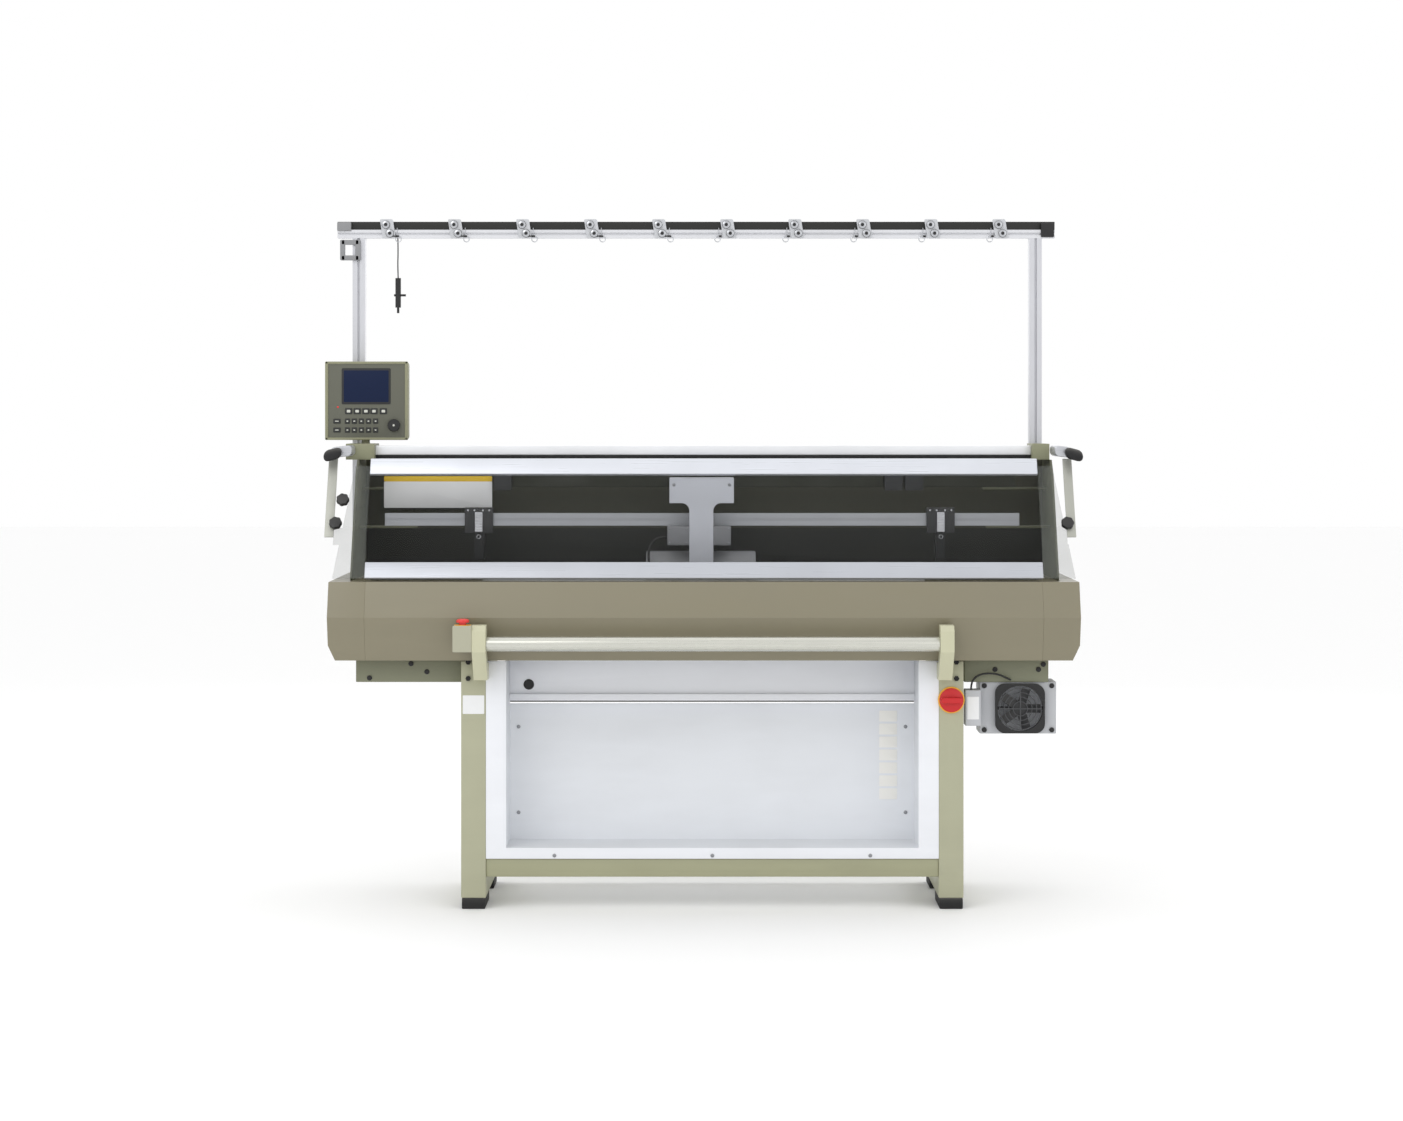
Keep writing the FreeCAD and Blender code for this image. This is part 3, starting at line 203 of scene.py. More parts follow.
def dress(obj, material, body=None):
    """Gives a piece its one material, and where asked its body."""
    obj.data.materials.clear()
    obj.data.materials.append(material)
    if body:
        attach(obj, body)
    return obj


def body_of(node):
    """The moving body that a node belongs to."""
    return next(b for b, names in frame["record"]["behaviour"]["bodies"].items() if node in names)


def eased(node, width, material, steps=2):
    """A copy of a CAD piece with its triangles merged and its sharp edges rounded by a width."""
    mesh = frame["nodes"][node].data.copy()
    work = bmesh.new()
    work.from_mesh(mesh)
    bmesh.ops.remove_doubles(work, verts=work.verts, dist=1e-5)
    bmesh.ops.dissolve_limit(work, angle_limit=0.01, verts=work.verts, edges=work.edges)
    sharp = [e for e in work.edges if len(e.link_faces) == 2 and e.calc_face_angle(0) > 0.35]
    bmesh.ops.bevel(work, geom=sharp, offset=width, segments=steps, affect="EDGES", profile=0.6,
                    clamp_overlap=True)
    bmesh.ops.triangulate(work, faces=[f for f in work.faces if len(f.verts) > 4])
    work.to_mesh(mesh)
    work.free()
    mesh.shade_smooth()
    mesh.set_sharp_from_angle(angle=0.6)
    obj = bpy.data.objects.new(node + "_eased", mesh)
    bpy.context.scene.collection.objects.link(obj)
    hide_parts(node)
    return dress(obj, material, body_of(node))


olive = paint("pale_olive_paint", srgb(172, 172, 146), 0.42)
eased("leg_frames", 0.003, olive)
eased("crossbars", 0.003, paint("crossbar_paint", srgb(160, 160, 130), 0.45))

# Feet: moulded black rubber blocks under the four corners of the leg frames. They are dull,
# dusty on top and slightly rounded at the floor.
rubber = paint("black_rubber", srgb(30, 30, 31), 0.7, soiling=0.0, dust=0.25, relief=0.3)
eased("feet", 0.004, rubber)

# Lower panels: white powder-coated sheet, folded into a recess for the knitted fabric, with a
# flat trim round it. Pan-head screws hold the sheets. The flap above hangs on its top edge. A thin
# black strip along its lower edge is painted shade for the dark gap between the flap and the
# recess.
white = paint("white_sheet", srgb(234, 236, 241), 0.38, soiling=0.07, dust=0.05, relief=0.05)
recess_white = paint("recess_sheet", srgb(229, 232, 237), 0.42, soiling=0.08, dust=0.1)
eased("trim_panel", 0.001, white)
eased("recess_panel", 0.001, recess_white)
eased("chute_flap", 0.0015, white)
screw_steel = metal("screw_steel", srgb(150, 152, 155), 0.32)
plug_black = paint("plug_black", srgb(24, 24, 25), 0.5, 0, 0.1)


def loft(rings):
    """A closed skin over a stack of rings, array (rings, points, 3), capped at both ends."""
    count, around = rings.shape[:2]
    index = np.arange(count * around).reshape(count, around)
    right = np.roll(index, -1, axis=1)
    quads = np.stack([index[:-1], right[:-1], right[1:], index[1:]], axis=-1).reshape(-1, 4)
    faces = quads.tolist() + [index[0][::-1].tolist(), index[-1].tolist()]
    return rings.reshape(-1, 3), faces


def facing(direction):
    """Two directions across and one along, right-handed, for a piece that faces a direction."""
    along = np.array(direction, float)
    along /= np.linalg.norm(along)
    guide = np.array([0, 0, 1.0]) if abs(along[2]) < 0.9 else np.array([0, 1.0, 0])
    across = np.cross(guide, along)
    across /= np.linalg.norm(across)
    return across, np.cross(along, across), along


def turned(profile, centre, direction, steps=32, lobes=0, depth=0.0):
    """A turned shape: rings of radius r at height h along a direction, with optional lobes."""
    across, over, along = facing(direction)
    angle = np.linspace(0, 2 * np.pi, steps, endpoint=False)
    radius, height = np.array(profile, float).T
    ripple = 1 + depth * np.cos(lobes * angle)
    circle = np.outer(np.cos(angle) * ripple, across) + np.outer(np.sin(angle) * ripple, over)
    rings = np.array(centre) + radius[:, None, None] * circle + height[:, None, None] * along
    return loft(rings)


def cushion_block(low, high, corner, edge, axis=1):
    """A rounded block: a rounded rectangle carried along an axis, drawn in at both ends."""
    low, high = np.array(low, float), np.array(high, float)
    first, second = [i for i in range(3) if i != axis]
    quarter = np.linspace(0, np.pi / 2, 5)
    angle = np.concatenate([quarter + k * np.pi / 2 for k in range(4)])
    signs = np.repeat([[1, 1], [-1, 1], [-1, -1], [1, -1]], 5, axis=0)
    middle, half = (low + high) / 2, (high - low) / 2
    edge = min(edge, half[axis] * 0.9, corner * 0.9)
    bend = np.linspace(0, np.pi / 2, 4)
    depth = np.concatenate([low[axis] + edge * (1 - np.cos(bend)),
                            high[axis] - edge * (1 - np.cos(bend[::-1]))])
    inset = np.concatenate([edge * (1 - np.sin(bend)), edge * (1 - np.sin(bend[::-1]))])
    rings = np.zeros((len(depth), len(angle), 3))
    for place, straight, wave in ((first, half[first], np.cos(angle)),
                                  (second, half[second], np.sin(angle))):
        side = signs[:, 0] if place == first else signs[:, 1]
        reach = (straight - corner) * side[None, :] + (corner - inset[:, None]) * wave[None, :]
        rings[:, :, place] = middle[place] + reach
    rings[:, :, axis] = depth[:, None]
    if axis == 1:
        rings = rings[:, ::-1]
    return loft(rings)


def piece(name, shapes, material, body, replaced=(), sharp=0.7):
    """Joins shapes into one object in its place, dressed, riding on a body."""
    points, faces, start = [], [], 0
    for corners, rows in shapes:
        points.append(corners)
        faces += [[start + i for i in row] for row in rows]
        start += len(corners)
    mesh = bpy.data.meshes.new(name)
    mesh.from_pydata(np.concatenate(points).tolist(), [], faces)
    mesh.validate()
    work = bmesh.new()
    work.from_mesh(mesh)
    bmesh.ops.remove_doubles(work, verts=work.verts, dist=1e-6)
    bmesh.ops.recalc_face_normals(work, faces=work.faces)
    work.to_mesh(mesh)
    work.free()
    mesh.shade_smooth()
    mesh.set_sharp_from_angle(angle=sharp)
    obj = bpy.data.objects.new(name, mesh)
    bpy.context.scene.collection.objects.link(obj)
    if replaced:
        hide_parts(*replaced)
    return dress(obj, material, body)


def screw_head(centre, direction, radius, height):
    """A domed pan head with a shallow hex socket sunk in its crown."""
    return turned([(radius * 0.9, 0), (radius, height * 0.2), (radius * 0.95, height * 0.6),
                   (radius * 0.7, height * 0.95), (radius * 0.42, height),
                   (radius * 0.4, height * 0.4)], centre, direction, 12)


leg_low, leg_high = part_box("leg_frames")
recess_low, recess_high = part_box("recess_panel")
screw_low, screw_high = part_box("panel_screws")
screw_r, screw_proud, screw_inset, screw_rise = 0.006, 0.003, 0.03, 0.268
foot_screws = (-0.458, 0.026, 0.510)
back_y = recess_high.y - 0.003
panel_screws = [screw_head((x, back_y, z), (0, -1, 0), screw_r, screw_proud)
                for x in (recess_low.x + screw_inset, recess_high.x - screw_inset)
                for z in (screw_high.z - screw_r - screw_rise, screw_high.z - screw_r)]
panel_screws += [screw_head((x, leg_low.y, screw_low.z + screw_r), (0, -1, 0), screw_r, screw_proud)
                 for x in foot_screws]
piece("panel_screw_heads", panel_screws, screw_steel, "frame", ["panel_screws"])
flap_low, flap_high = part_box("chute_flap")
flap_lip, cup_across, cup_up = 0.010, 0.0597, 0.053
cup_section = [(0.0155, 0), (0.0165, 0.001), (0.014, 0.002), (0.0135, -0.006), (0.004, -0.007)]
cup_place = (flap_low.x + cup_across, flap_low.y + flap_lip, flap_low.z + cup_up)
# A black cup sunk in the flap's finger hole: its black is painted shade for the depth of the hole.
piece("flap_hole_shade_cup", [turned(cup_section, cup_place, (0, -1, 0), 28)],
      plug_black, "flap")
# A black rubber strip along the flap's lower edge: painted shade for the dark gap under the flap.
piece("flap_gap_shade_strip", [cushion_block((flap_low.x + 0.002, flap_low.y - 0.0008, flap_low.z - 0.0006),
                                  (flap_high.x - 0.002, flap_low.y + 0.002, flap_low.z + 0.0032),
                                  0.001, 0.0004, 0)], rubber, "flap")
plate_pale = paint("plate_pale", srgb(238, 237, 232), 0.5, 0.03, 0.0)
plate_count, plate_foot, plate_tall, plate_step = 7, 0.312, 0.034, 0.0405
plates_left, plates_right = 0.549, 0.605
piece("blank_plate_column", [
    cushion_block((plates_left, back_y - 0.0008, foot),
                  (plates_right, back_y + 0.0002, foot + plate_tall), 0.002, 0.0003)
    for foot in plate_foot + plate_step * np.arange(plate_count)],
      plate_pale, "frame")

# Take-down roller: a ground steel tube under the bed, on stub shafts. It draws the knitted fabric
# down into the recess.
eased("take_down_roller", 0.001, metal("roller_steel", srgb(140, 142, 145), 0.45))

# Bed beam and needle beds: a machined grey casting and two sloping steel beds. Each bed is milled
# with close tricks, and a needle lies in each, so the slope reads as a comb of fine bright lines.
eased("bed_beam", 0.002, metal("machined_casting", srgb(86, 87, 86), 0.5, 0.3, 0.7))
bed_steel = metal("bed_steel", srgb(150, 152, 154), 0.35)
eased("needle_beds", 0.0006, bed_steel)
eased("carriage_guides", 0.002, bed_steel)
bed_low, bed_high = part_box("needle_beds")


def needle_row(sign):
    """Thin bars at an even pitch, each a box lying on the bed's 45-degree slope."""
    pitch, wide, proud, margin = 0.006, 0.0016, 0.0032, 0.02
    middle = (bed_low.y + bed_high.y) / 2
    x = np.arange(bed_low.x + margin, bed_high.x - margin, pitch)
    near, far, crest_out = 0.032, 0.128, 0.030
    crest = bed_high.z - 0.0008
    shift = proud / np.sqrt(2)
    section = []
    for out in (near, far):
        y, z = middle + sign * out, crest - (out - crest_out)
        section += [(y, z), (y + sign * shift, z + shift)]
    section = np.array(section)
    corners = np.array([[dx, *section[k]] for dx in (-wide / 2, wide / 2) for k in range(4)])
    points = (corners[None] + np.stack([x, 0 * x, 0 * x], axis=-1)[:, None]).reshape(-1, 3)
    box = np.array([[0, 1, 3, 2], [4, 6, 7, 5], [0, 4, 5, 1],
                    [2, 3, 7, 6], [1, 5, 7, 3], [0, 2, 6, 4]])
    faces = (box[None] + 8 * np.arange(len(x))[:, None, None]).reshape(-1, 4)
    return points, faces.tolist()


piece("needles", [needle_row(-1), needle_row(1)], metal("needle_steel", srgb(196, 198, 202), 0.22),
      "frame", sharp=0.3)

# Covers: sheet steel folded along two creases and sprayed taupe, with moulded end caps of the
# same section. Every crease has a small radius. Round plugs close the holes in the boxes below.
taupe = paint("taupe_paint", srgb(132, 126, 105), 0.34, soiling=0.1, dust=0.05, relief=0.06)
eased("front_cover", 0.0009, taupe, 3)
eased("end_caps", 0.0012, taupe, 3)
eased("rear_cover", 0.0009, taupe, 3)
under_olive = paint("under_box_paint", srgb(124, 126, 104), 0.45)
eased("under_boxes", 0.003, under_olive)
under_low, under_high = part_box("under_boxes")
plug_section = [(0.004, -0.001), (0.007, 0), (0.008, 0.002), (0.005, 0.004), (0.001, 0.0045)]
plug_places = ((-0.902, 0.012), (-0.853, 0.037), (-1.03, 0.056),
               (0.897, 0.030), (1.031, 0.030), (1.046, 0.014))
plugs = [turned(plug_section, (x, under_low.y, under_high.z - drop), (0, -1, 0), 20)
         for x, drop in plug_places]
piece("under_box_plugs", plugs, plug_black, "frame")

# End plates, back panel and stay tube: folded steel in a darker olive. The paler brackets on top
# hold the stay tube, a bright drawn aluminium section, and the left one carries the control panel.
dark_olive = paint("dark_olive_paint", srgb(90, 92, 72), 0.5)
inner_dark = paint("inner_dark_paint", srgb(72, 72, 60), 0.6, soiling=0.2, dust=0.1)
eased("end_plates", 0.0015, dark_olive)
eased("back_panel", 0.0008, inner_dark)
eased("stay_brackets", 0.004, paint("bracket_olive", srgb(142, 143, 115), 0.42))
aluminium = metal("beam_aluminium", srgb(220, 221, 225), 0.34, metallic=0.5)
eased("stay_tube", 0.002, metal("stay_aluminium", srgb(247, 248, 251), 0.32, metallic=0.15))
eased("rail_brackets", 0.0015, dark_olive)
back_low, back_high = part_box("back_panel")
# A near-black sheet over the lower back panel, up to 1.15 m: painted shade for the dark depths
# behind the beds.
shade_sheet_top = 1.150
sheet_thick, sheet_inset = 0.002, 0.001
piece("back_painted_shade_sheet", [cushion_block(
    (back_low.x + sheet_inset, back_low.y - sheet_thick, back_low.z + sheet_inset),
    (back_high.x - sheet_inset, back_low.y, shade_sheet_top), 0.001, 0.0005)],
      paint("back_painted_shade_paint", srgb(30, 31, 28), 0.55, 0.1, 0.05), "frame")
stay_low, stay_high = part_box("stay_tube")
# A black rubber strip under the stay tube: painted shadow for the dark gap below it.
shadow_tall, shadow_deep = 0.012, 0.02
piece("stay_shadow_strip", [cushion_block((stay_low.x, stay_low.y + 0.002, stay_low.z - shadow_tall),
                                  (stay_high.x, stay_low.y + shadow_deep, stay_low.z),
                                  0.002, 0.001, 0)],
      rubber, "frame")

# Yarn rails and carriers: two drawn rails inside the hood. Dark cast carriers hang on them, each
# with a feeder column, and small blocks park on the rear rail.


def extrusion(low, high, axis, wide_axis, slot_wide, slot_deep):
    """A square section with a slot sunk in its two broad faces, carried along an axis."""
    low, high = np.array(low, float), np.array(high, float)
    deep_axis = 3 - axis - wide_axis
    w0, w1 = low[wide_axis], high[wide_axis]
    d0, d1 = low[deep_axis], high[deep_axis]
    mid, half = (w0 + w1) / 2, slot_wide / 2
    outline = np.array([(w0, d0), (mid - half, d0), (mid - half, d0 + slot_deep),
                        (mid + half, d0 + slot_deep), (mid + half, d0), (w1, d0), (w1, d1),
                        (mid + half, d1), (mid + half, d1 - slot_deep),
                        (mid - half, d1 - slot_deep), (mid - half, d1), (w0, d1)])
    rings = np.zeros((2, len(outline), 3))
    rings[:, :, wide_axis] = outline[:, 0]
    rings[:, :, deep_axis] = outline[:, 1]
    rings[0, :, axis], rings[1, :, axis] = low[axis], high[axis]
    return loft(rings)


rails_low, rails_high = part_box("yarn_rails")
rail_tall, rail_deep, rail_back = 0.039, 0.020, 0.140
front_rail_corner = (rails_high.x, rails_low.y + rail_deep, rails_low.z + rail_tall)
piece("front_yarn_rail", [extrusion(rails_low, front_rail_corner, 0, 2, 0.006, 0.004)],
      metal("rail_grey", srgb(172, 175, 180), 0.36, metallic=0.4), "frame",
      ["yarn_rails"])
# The rear rail's near-black steel colour is painted shade for the shadow it sits in behind the
# hood's top rail.
piece("rear_yarn_rail", [cushion_block((rails_low.x, rail_back, rails_high.z - rail_tall),
                                       rails_high, 0.002, 0.001, 0)],
      metal("rail_painted_shade_steel", srgb(60, 61, 54), 0.5), "frame")
carrier_dark = paint("carrier_dark", srgb(40, 41, 43), 0.38, 0.05, 0.1)
eased("yarn_carrier_left", 0.0015, carrier_dark)
eased("yarn_carrier_right", 0.0015, carrier_dark)
eased("rear_carriers", 0.002, carrier_dark)


def ring_of(centre, radius, wire, direction, around=28, thick=8):
    """A wire ring: a small circle carried round a larger one."""
    across, over, along = facing(direction)
    big = np.linspace(0, 2 * np.pi, around, endpoint=False)[:, None, None]
    small = np.linspace(0, 2 * np.pi, thick, endpoint=False)[None, :, None]
    out = np.cos(big) * across + np.sin(big) * over
    points = np.array(centre) + out * (radius + wire * np.cos(small)) + wire * np.sin(small) * along
    index = np.arange(around * thick).reshape(around, thick)
    right, next_row = np.roll(index, -1, axis=1), np.roll(index, -1, axis=0)
    quads = np.stack([index, right, np.roll(right, -1, axis=0), next_row], axis=-1)
    return points.reshape(-1, 3), quads.reshape(-1, 4).tolist()


bright_steel = metal("bright_steel", srgb(190, 192, 196), 0.24)
for side in ("left", "right"):
    node = "yarn_carrier_" + side
    low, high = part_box(node)
    middle = (low.x + high.x) / 2
    fittings = [cushion_block((middle - 0.012, low.y - 0.004, low.z + 0.085),
                              (middle + 0.012, low.y, high.z - 0.014), 0.002, 0.001)]
    fittings += [screw_head((low.x + part * (high.x - low.x), low.y, high.z - 0.009), (0, -1, 0),
                            0.0035, 0.002) for part in (0.12, 0.35, 0.65, 0.88)]
    fittings += [ring_of((middle, low.y - 0.004, low.z + 0.07), 0.006, 0.0012, (0, 1, 0))]
    piece("carrier_fittings_" + side, fittings, bright_steel, side + "_carrier")

# Card: a plain white card with a coloured top edge, clipped to the front of the rear rail.
card_white = paint("card_white", srgb(240, 241, 242), 0.5, 0.03, 0.0)
card_yellow = paint("card_yellow", srgb(240, 200, 50), 0.5, 0.03, 0.0)
card_left, card_right, card_foot, card_top, card_band = -1.017, -0.673, 1.218, 1.319, 0.017
piece("card", [cushion_block((card_left, rail_back - 0.0012, card_foot),
                             (card_right, rail_back - 0.0002, card_top - card_band),
                             0.003, 0.0004)],
      card_white, "frame")
piece("card_top_edge", [cushion_block((card_left, rail_back - 0.0014, card_top - card_band),
                                      (card_right, rail_back - 0.0002, card_top), 0.003, 0.0004)],
      card_yellow, "frame")

# Carriage: a pale cast bridge over both beds on dark cam plates, with two boxes on its stem. The
# casting is smooth painted metal, screwed down through its feet.
carriage_grey = paint("carriage_paint", srgb(188, 191, 199), 0.33, 0.08, 0.08, 0.06)
eased("carriage_bridge", 0.003, carriage_grey, 3)
eased("cam_plates", 0.0025, paint("cam_grey", srgb(128, 130, 134), 0.4, 0.12))
box_grey = paint("carriage_box_paint", srgb(120, 122, 126), 0.42)
eased("carriage_boxes", 0.003, box_grey)
head_low, head_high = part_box("carriage_bridge")
boxes_low, boxes_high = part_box("carriage_boxes")
head_side = 0.014
details = [screw_head((x, head_low.y, head_high.z - 0.02), (0, -1, 0), 0.005, 0.003)
           for x in (head_low.x + head_side, head_high.x - head_side)]
details += [screw_head((boxes_low.x + dx, boxes_low.y, z), (0, -1, 0), 0.003, 0.002)
            for dx in (0.008, 0.060) for z in (boxes_low.z + 0.008, boxes_high.z - 0.008)]
details += [screw_head((boxes_high.x - 0.008, boxes_low.y, z), (0, -1, 0), 0.003, 0.002)
            for z in (boxes_low.z + 0.008, boxes_high.z - 0.008)]
piece("carriage_screws", details, screw_steel, "carriage")

# Drive: a black rubber belt behind the beds, in one fixed loop on two machined pulleys, with the
# motor at the left and an idler in its block at the right.
eased("drive_belt", 0.0005, rubber)
eased("drive_pulley", 0.0008, bright_steel)
eased("idler_pulley", 0.0008, bright_steel)
eased("drive_motor", 0.003, plug_black)
eased("idler_block", 0.002, bed_steel)

# Hood: two drawn aluminium rails with a clear plastic window between them, clear end shields, and
# flat metal side arms. The window is thin polycarbonate, hazed a little by fine scratches.


def clear_sheet(name, tint, roughness, alpha):
    """Clear plastic sheet: mostly see-through, with its own gloss and faint broad haze."""
    made = bpy.data.materials.new(name)
    made.use_nodes = True
    tree = made.node_tree
    shader = tree.nodes["Principled BSDF"]
    shader.inputs["Base Color"].default_value = tint
    haze = ranged(tree, noise(tree, 14, 4), roughness, roughness + 0.1)
    clear = ranged(tree, noise(tree, 5, 3), alpha * 0.8, alpha * 1.2)
    tree.links.new(haze, shader.inputs["Roughness"])
    tree.links.new(clear, shader.inputs["Alpha"])
    return made


lower_rail_metal = metal("lower_rail_metal", srgb(192, 195, 202), 0.3, metallic=0.5)
upper_rail_metal = metal("upper_rail_metal", srgb(222, 225, 232), 0.3, metallic=0.5)
eased("hood_bottom_rail", 0.003, lower_rail_metal, 3)
eased("hood_top_rail", 0.003, upper_rail_metal, 3)
dress(frame["nodes"]["hood_window"], clear_sheet("window_sheet", srgb(60, 62, 60), 0.05, 0.07))
dress(frame["nodes"]["end_shields"], clear_sheet("shield_sheet", srgb(120, 124, 120), 0.08, 0.17))
eased("hood_arms", 0.001, metal("arm_metal", srgb(178, 179, 170), 0.38, metallic=0.35))
lever_low, lever_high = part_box("hood_levers")
grip_low, grip_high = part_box("hood_grips")
lever_wide, lever_wide_right, grip_wide = 0.0717, 0.054, 0.054


def drooping(low, high, corner, edge, side, droop):
    """A rounded block sheared downwards on its outer side, so that it droops by a share."""
    points, faces = cushion_block(low, high, corner, edge)
    out = side * (points[:, 0] - (low[0] + high[0]) / 2)
    points[:, 2] -= droop * out
    return points, faces


lever_rise, lever_end, lever_droop = 0.0045, 0.006, 0.12
levers = [drooping((left, lever_low.y, lever_low.z + lever_rise),
                   (right, lever_high.y, lever_high.z - lever_rise), 0.012, 0.004, side,
                   lever_droop)
          for left, right, side in (
              (lever_low.x + lever_end, lever_low.x + lever_wide, -1),
              (lever_high.x - lever_wide_right, lever_high.x - lever_end, 1))]
piece("hood_hand_levers", levers, metal("lever_aluminium", srgb(198, 200, 205), 0.3, metallic=0.45),
      "hood", ["hood_levers"])
grip_rise, grip_droop = 0.007, 0.26
grips = [drooping((left, grip_low.y, grip_low.z + grip_rise),
                  (right, grip_high.y, grip_high.z - grip_rise), 0.016, 0.010, side, grip_droop)
         for left, right, side in ((grip_low.x, grip_low.x + grip_wide, -1),
                                   (grip_high.x - grip_wide, grip_high.x, 1))]
piece("hood_hand_grips", grips, rubber, "hood", ["hood_grips"])


def lobed_knob(centre, direction, radius, length):
    """A moulded hand knob: seven soft lobes round a drum with a domed face."""
    return turned([(radius * 0.55, 0), (radius * 0.6, length * 0.25), (radius * 0.9, length * 0.3),
                   (radius * 0.93, length * 0.8), (radius * 0.82, length * 0.95),
                   (radius * 0.4, length)], centre, direction, 56, 7, 0.05)


def knob_places():
    """The knobs' foot points, from the arms' slope and the heights that their boxes give."""
    arm_low, arm_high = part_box("hood_arms")
    knob_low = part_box("hood_knobs")[0]
    knob_half, knob_apart = 0.022, 0.080
    in_low, in_high, in_right = 0.034, 0.052, 0.026
    slope = Vector((0, arm_high.y - arm_low.y, arm_high.z - arm_low.z)).normalized()
    outward = Vector((0, -slope.z, slope.y))
    low_z = knob_low.z + knob_half * slope.z
    high_z = low_z + knob_apart * slope.z
    at = []
    for x, z in ((arm_low.x + in_low, low_z), (arm_low.x + in_high, high_z),
                 (arm_high.x - in_right, low_z)):
        y = arm_low.y + (z - arm_low.z) * slope.y / slope.z
        at.append((Vector((x, y, z)), outward))
    return at


knob_black = paint("knob_black", srgb(22, 22, 23), 0.35, 0.0, 0.12)
piece("hood_hand_knobs", [lobed_knob(at, out, 0.021, 0.022) for at, out in knob_places()],
      knob_black, "hood", ["hood_knobs"])

# Yarn stand: extruded aluminium posts and beam with a slot down each face, tied by a dark rail.
# A grey block and a small windowed bracket finish the left end, and a black fitting the right.

post_low, post_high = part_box("stand_posts")
post_size = post_high.y - post_low.y
posts = [extrusion((x, post_low.y, post_low.z), (x + post_size, post_high.y, post_high.z), 2, 0,
                   0.008, 0.009) for x in (post_low.x, post_high.x - post_size)]
piece("stand_post_extrusions", posts,
      metal("post_aluminium", srgb(208, 209, 214), 0.34, metallic=0.5, drawn=(1, 1, 0.01)),
      "frame", ["stand_posts"])
beam_low, beam_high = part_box("stand_beam")
piece("stand_beam_extrusion", [extrusion(beam_low, beam_high, 0, 2, 0.008, 0.008)], aluminium,
      "frame", ["stand_beam"])
rail_dark = paint("rail_dark", srgb(22, 23, 20), 0.5, 0.03, 0.05)
eased("stand_rail", 0.0015, rail_dark)
rail_low, rail_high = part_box("stand_rail")
end_grey = paint("end_block_grey", srgb(140, 141, 143), 0.5)
window_left, window_right = beam_low.x + 0.010, post_low.x + 0.026
window_top, window_foot, window_bar = beam_low.z - 0.006, beam_low.z - 0.072, 0.016
window_front, window_back = post_low.y - 0.012, post_low.y
window_side, window_cross = window_left + window_bar, window_right - window_bar
window_low_bar, window_high_bar = window_foot + window_bar, window_top - window_bar
bars = [((window_left, window_foot), (window_side, window_top)),
        ((window_cross, window_foot), (window_right, window_top)),
        ((window_left + 0.004, window_high_bar), (window_right - 0.004, window_top)),
        ((window_left + 0.004, window_foot), (window_right - 0.004, window_low_bar))]
piece("corner_window_bracket", [
    cushion_block((x0, window_front, z0), (x1, window_back, z1), 0.004, 0.002)
    for (x0, z0), (x1, z1) in bars], end_grey, "frame")
end_reach = 0.045
end_proud = 0.012
piece("beam_end_block", [cushion_block(
    (rail_low.x, rail_low.y - end_proud, beam_high.z - 0.004),
    (rail_low.x + end_reach, rail_low.y + 0.002, rail_high.z - 0.002), 0.003, 0.002)],
      end_grey, "frame")
piece("beam_end_fitting", [cushion_block(
    (rail_high.x - end_reach, rail_low.y - end_proud, beam_low.z + 0.003),
    (rail_high.x - 0.003, rail_low.y, rail_high.z - 0.004), 0.003, 0.002)],
      plug_black, "frame")

# Tension units: ten stamped plates on the beam, each with two dark tension discs under bright
# caps, a small lever and a wire eyelet. They tilt a few degrees to the right at the foot.
units_low, units_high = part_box("tension_units")
unit_count, unit_pitch, first_x = 10, 0.219, -1.016
plate_half, plate_height, plate_lean = 0.021, 0.062, 0.16
disc_out, disc_r, disc_places = 0.017, 0.013, ((-0.006, 0.046), (0.007, 0.018))
wire_out, eye_out, eye_r, eye_wire = 0.030, 0.034, 0.009, 0.0016
unit_plate, unit_dark, unit_wire = [], [], []
for number in range(unit_count):
    x = first_x + number * unit_pitch
    face_y = units_high.y - 0.006
    side = 1 if number < unit_count / 2 else -1
    points, faces = cushion_block((x - plate_half, face_y, units_high.z - plate_height),
                                  (x + plate_half, units_high.y, units_high.z), 0.005, 0.0015)
    points[:, 0] += (units_high.z - plate_height / 2 - points[:, 2]) * plate_lean
    unit_plate.append((points, faces))
    for across, up in disc_places:
        centre = (x + across, face_y, units_high.z - 0.064 + up)
        unit_dark.append(turned([(disc_r * 0.4, 0), (disc_r, 0.003), (disc_r, 0.0045),
                                 (disc_r * 0.45, 0.006), (disc_r * 0.42, 0.012),
                                 (disc_r * 0.3, disc_out)], centre, (0, -1, 0), 24))
        unit_wire.append(turned([(disc_r * 0.9, 0.0055), (disc_r * 0.92, 0.0065),
                                 (disc_r * 0.3, 0.009)], centre, (0, -1, 0), 24))
    unit_wire.append(turned([(0.0012, -0.004), (0.0012, 0.030)],
                            (x + side * wire_out, face_y + 0.002, units_low.z + 0.018),
                            (0, 0, 1), 8))
    unit_wire.append(ring_of((x + side * eye_out, face_y + 0.003, units_low.z + 0.0115),
                             eye_r, eye_wire, (0, 1, 0)))
    unit_dark.append(cushion_block((x + side * 0.018 - 0.012, face_y, units_low.z + 0.018),
                                   (x + side * 0.028 + 0.008, units_high.y, units_low.z + 0.024),
                                   0.002, 0.001))
piece("tension_plates", unit_plate, paint("unit_plate_grey", srgb(198, 200, 204), 0.35, 0.1),
      "frame", ["tension_units"])
piece("tension_discs", unit_dark, plug_black, "frame")
piece("tension_wires", unit_wire, bright_steel, "frame")

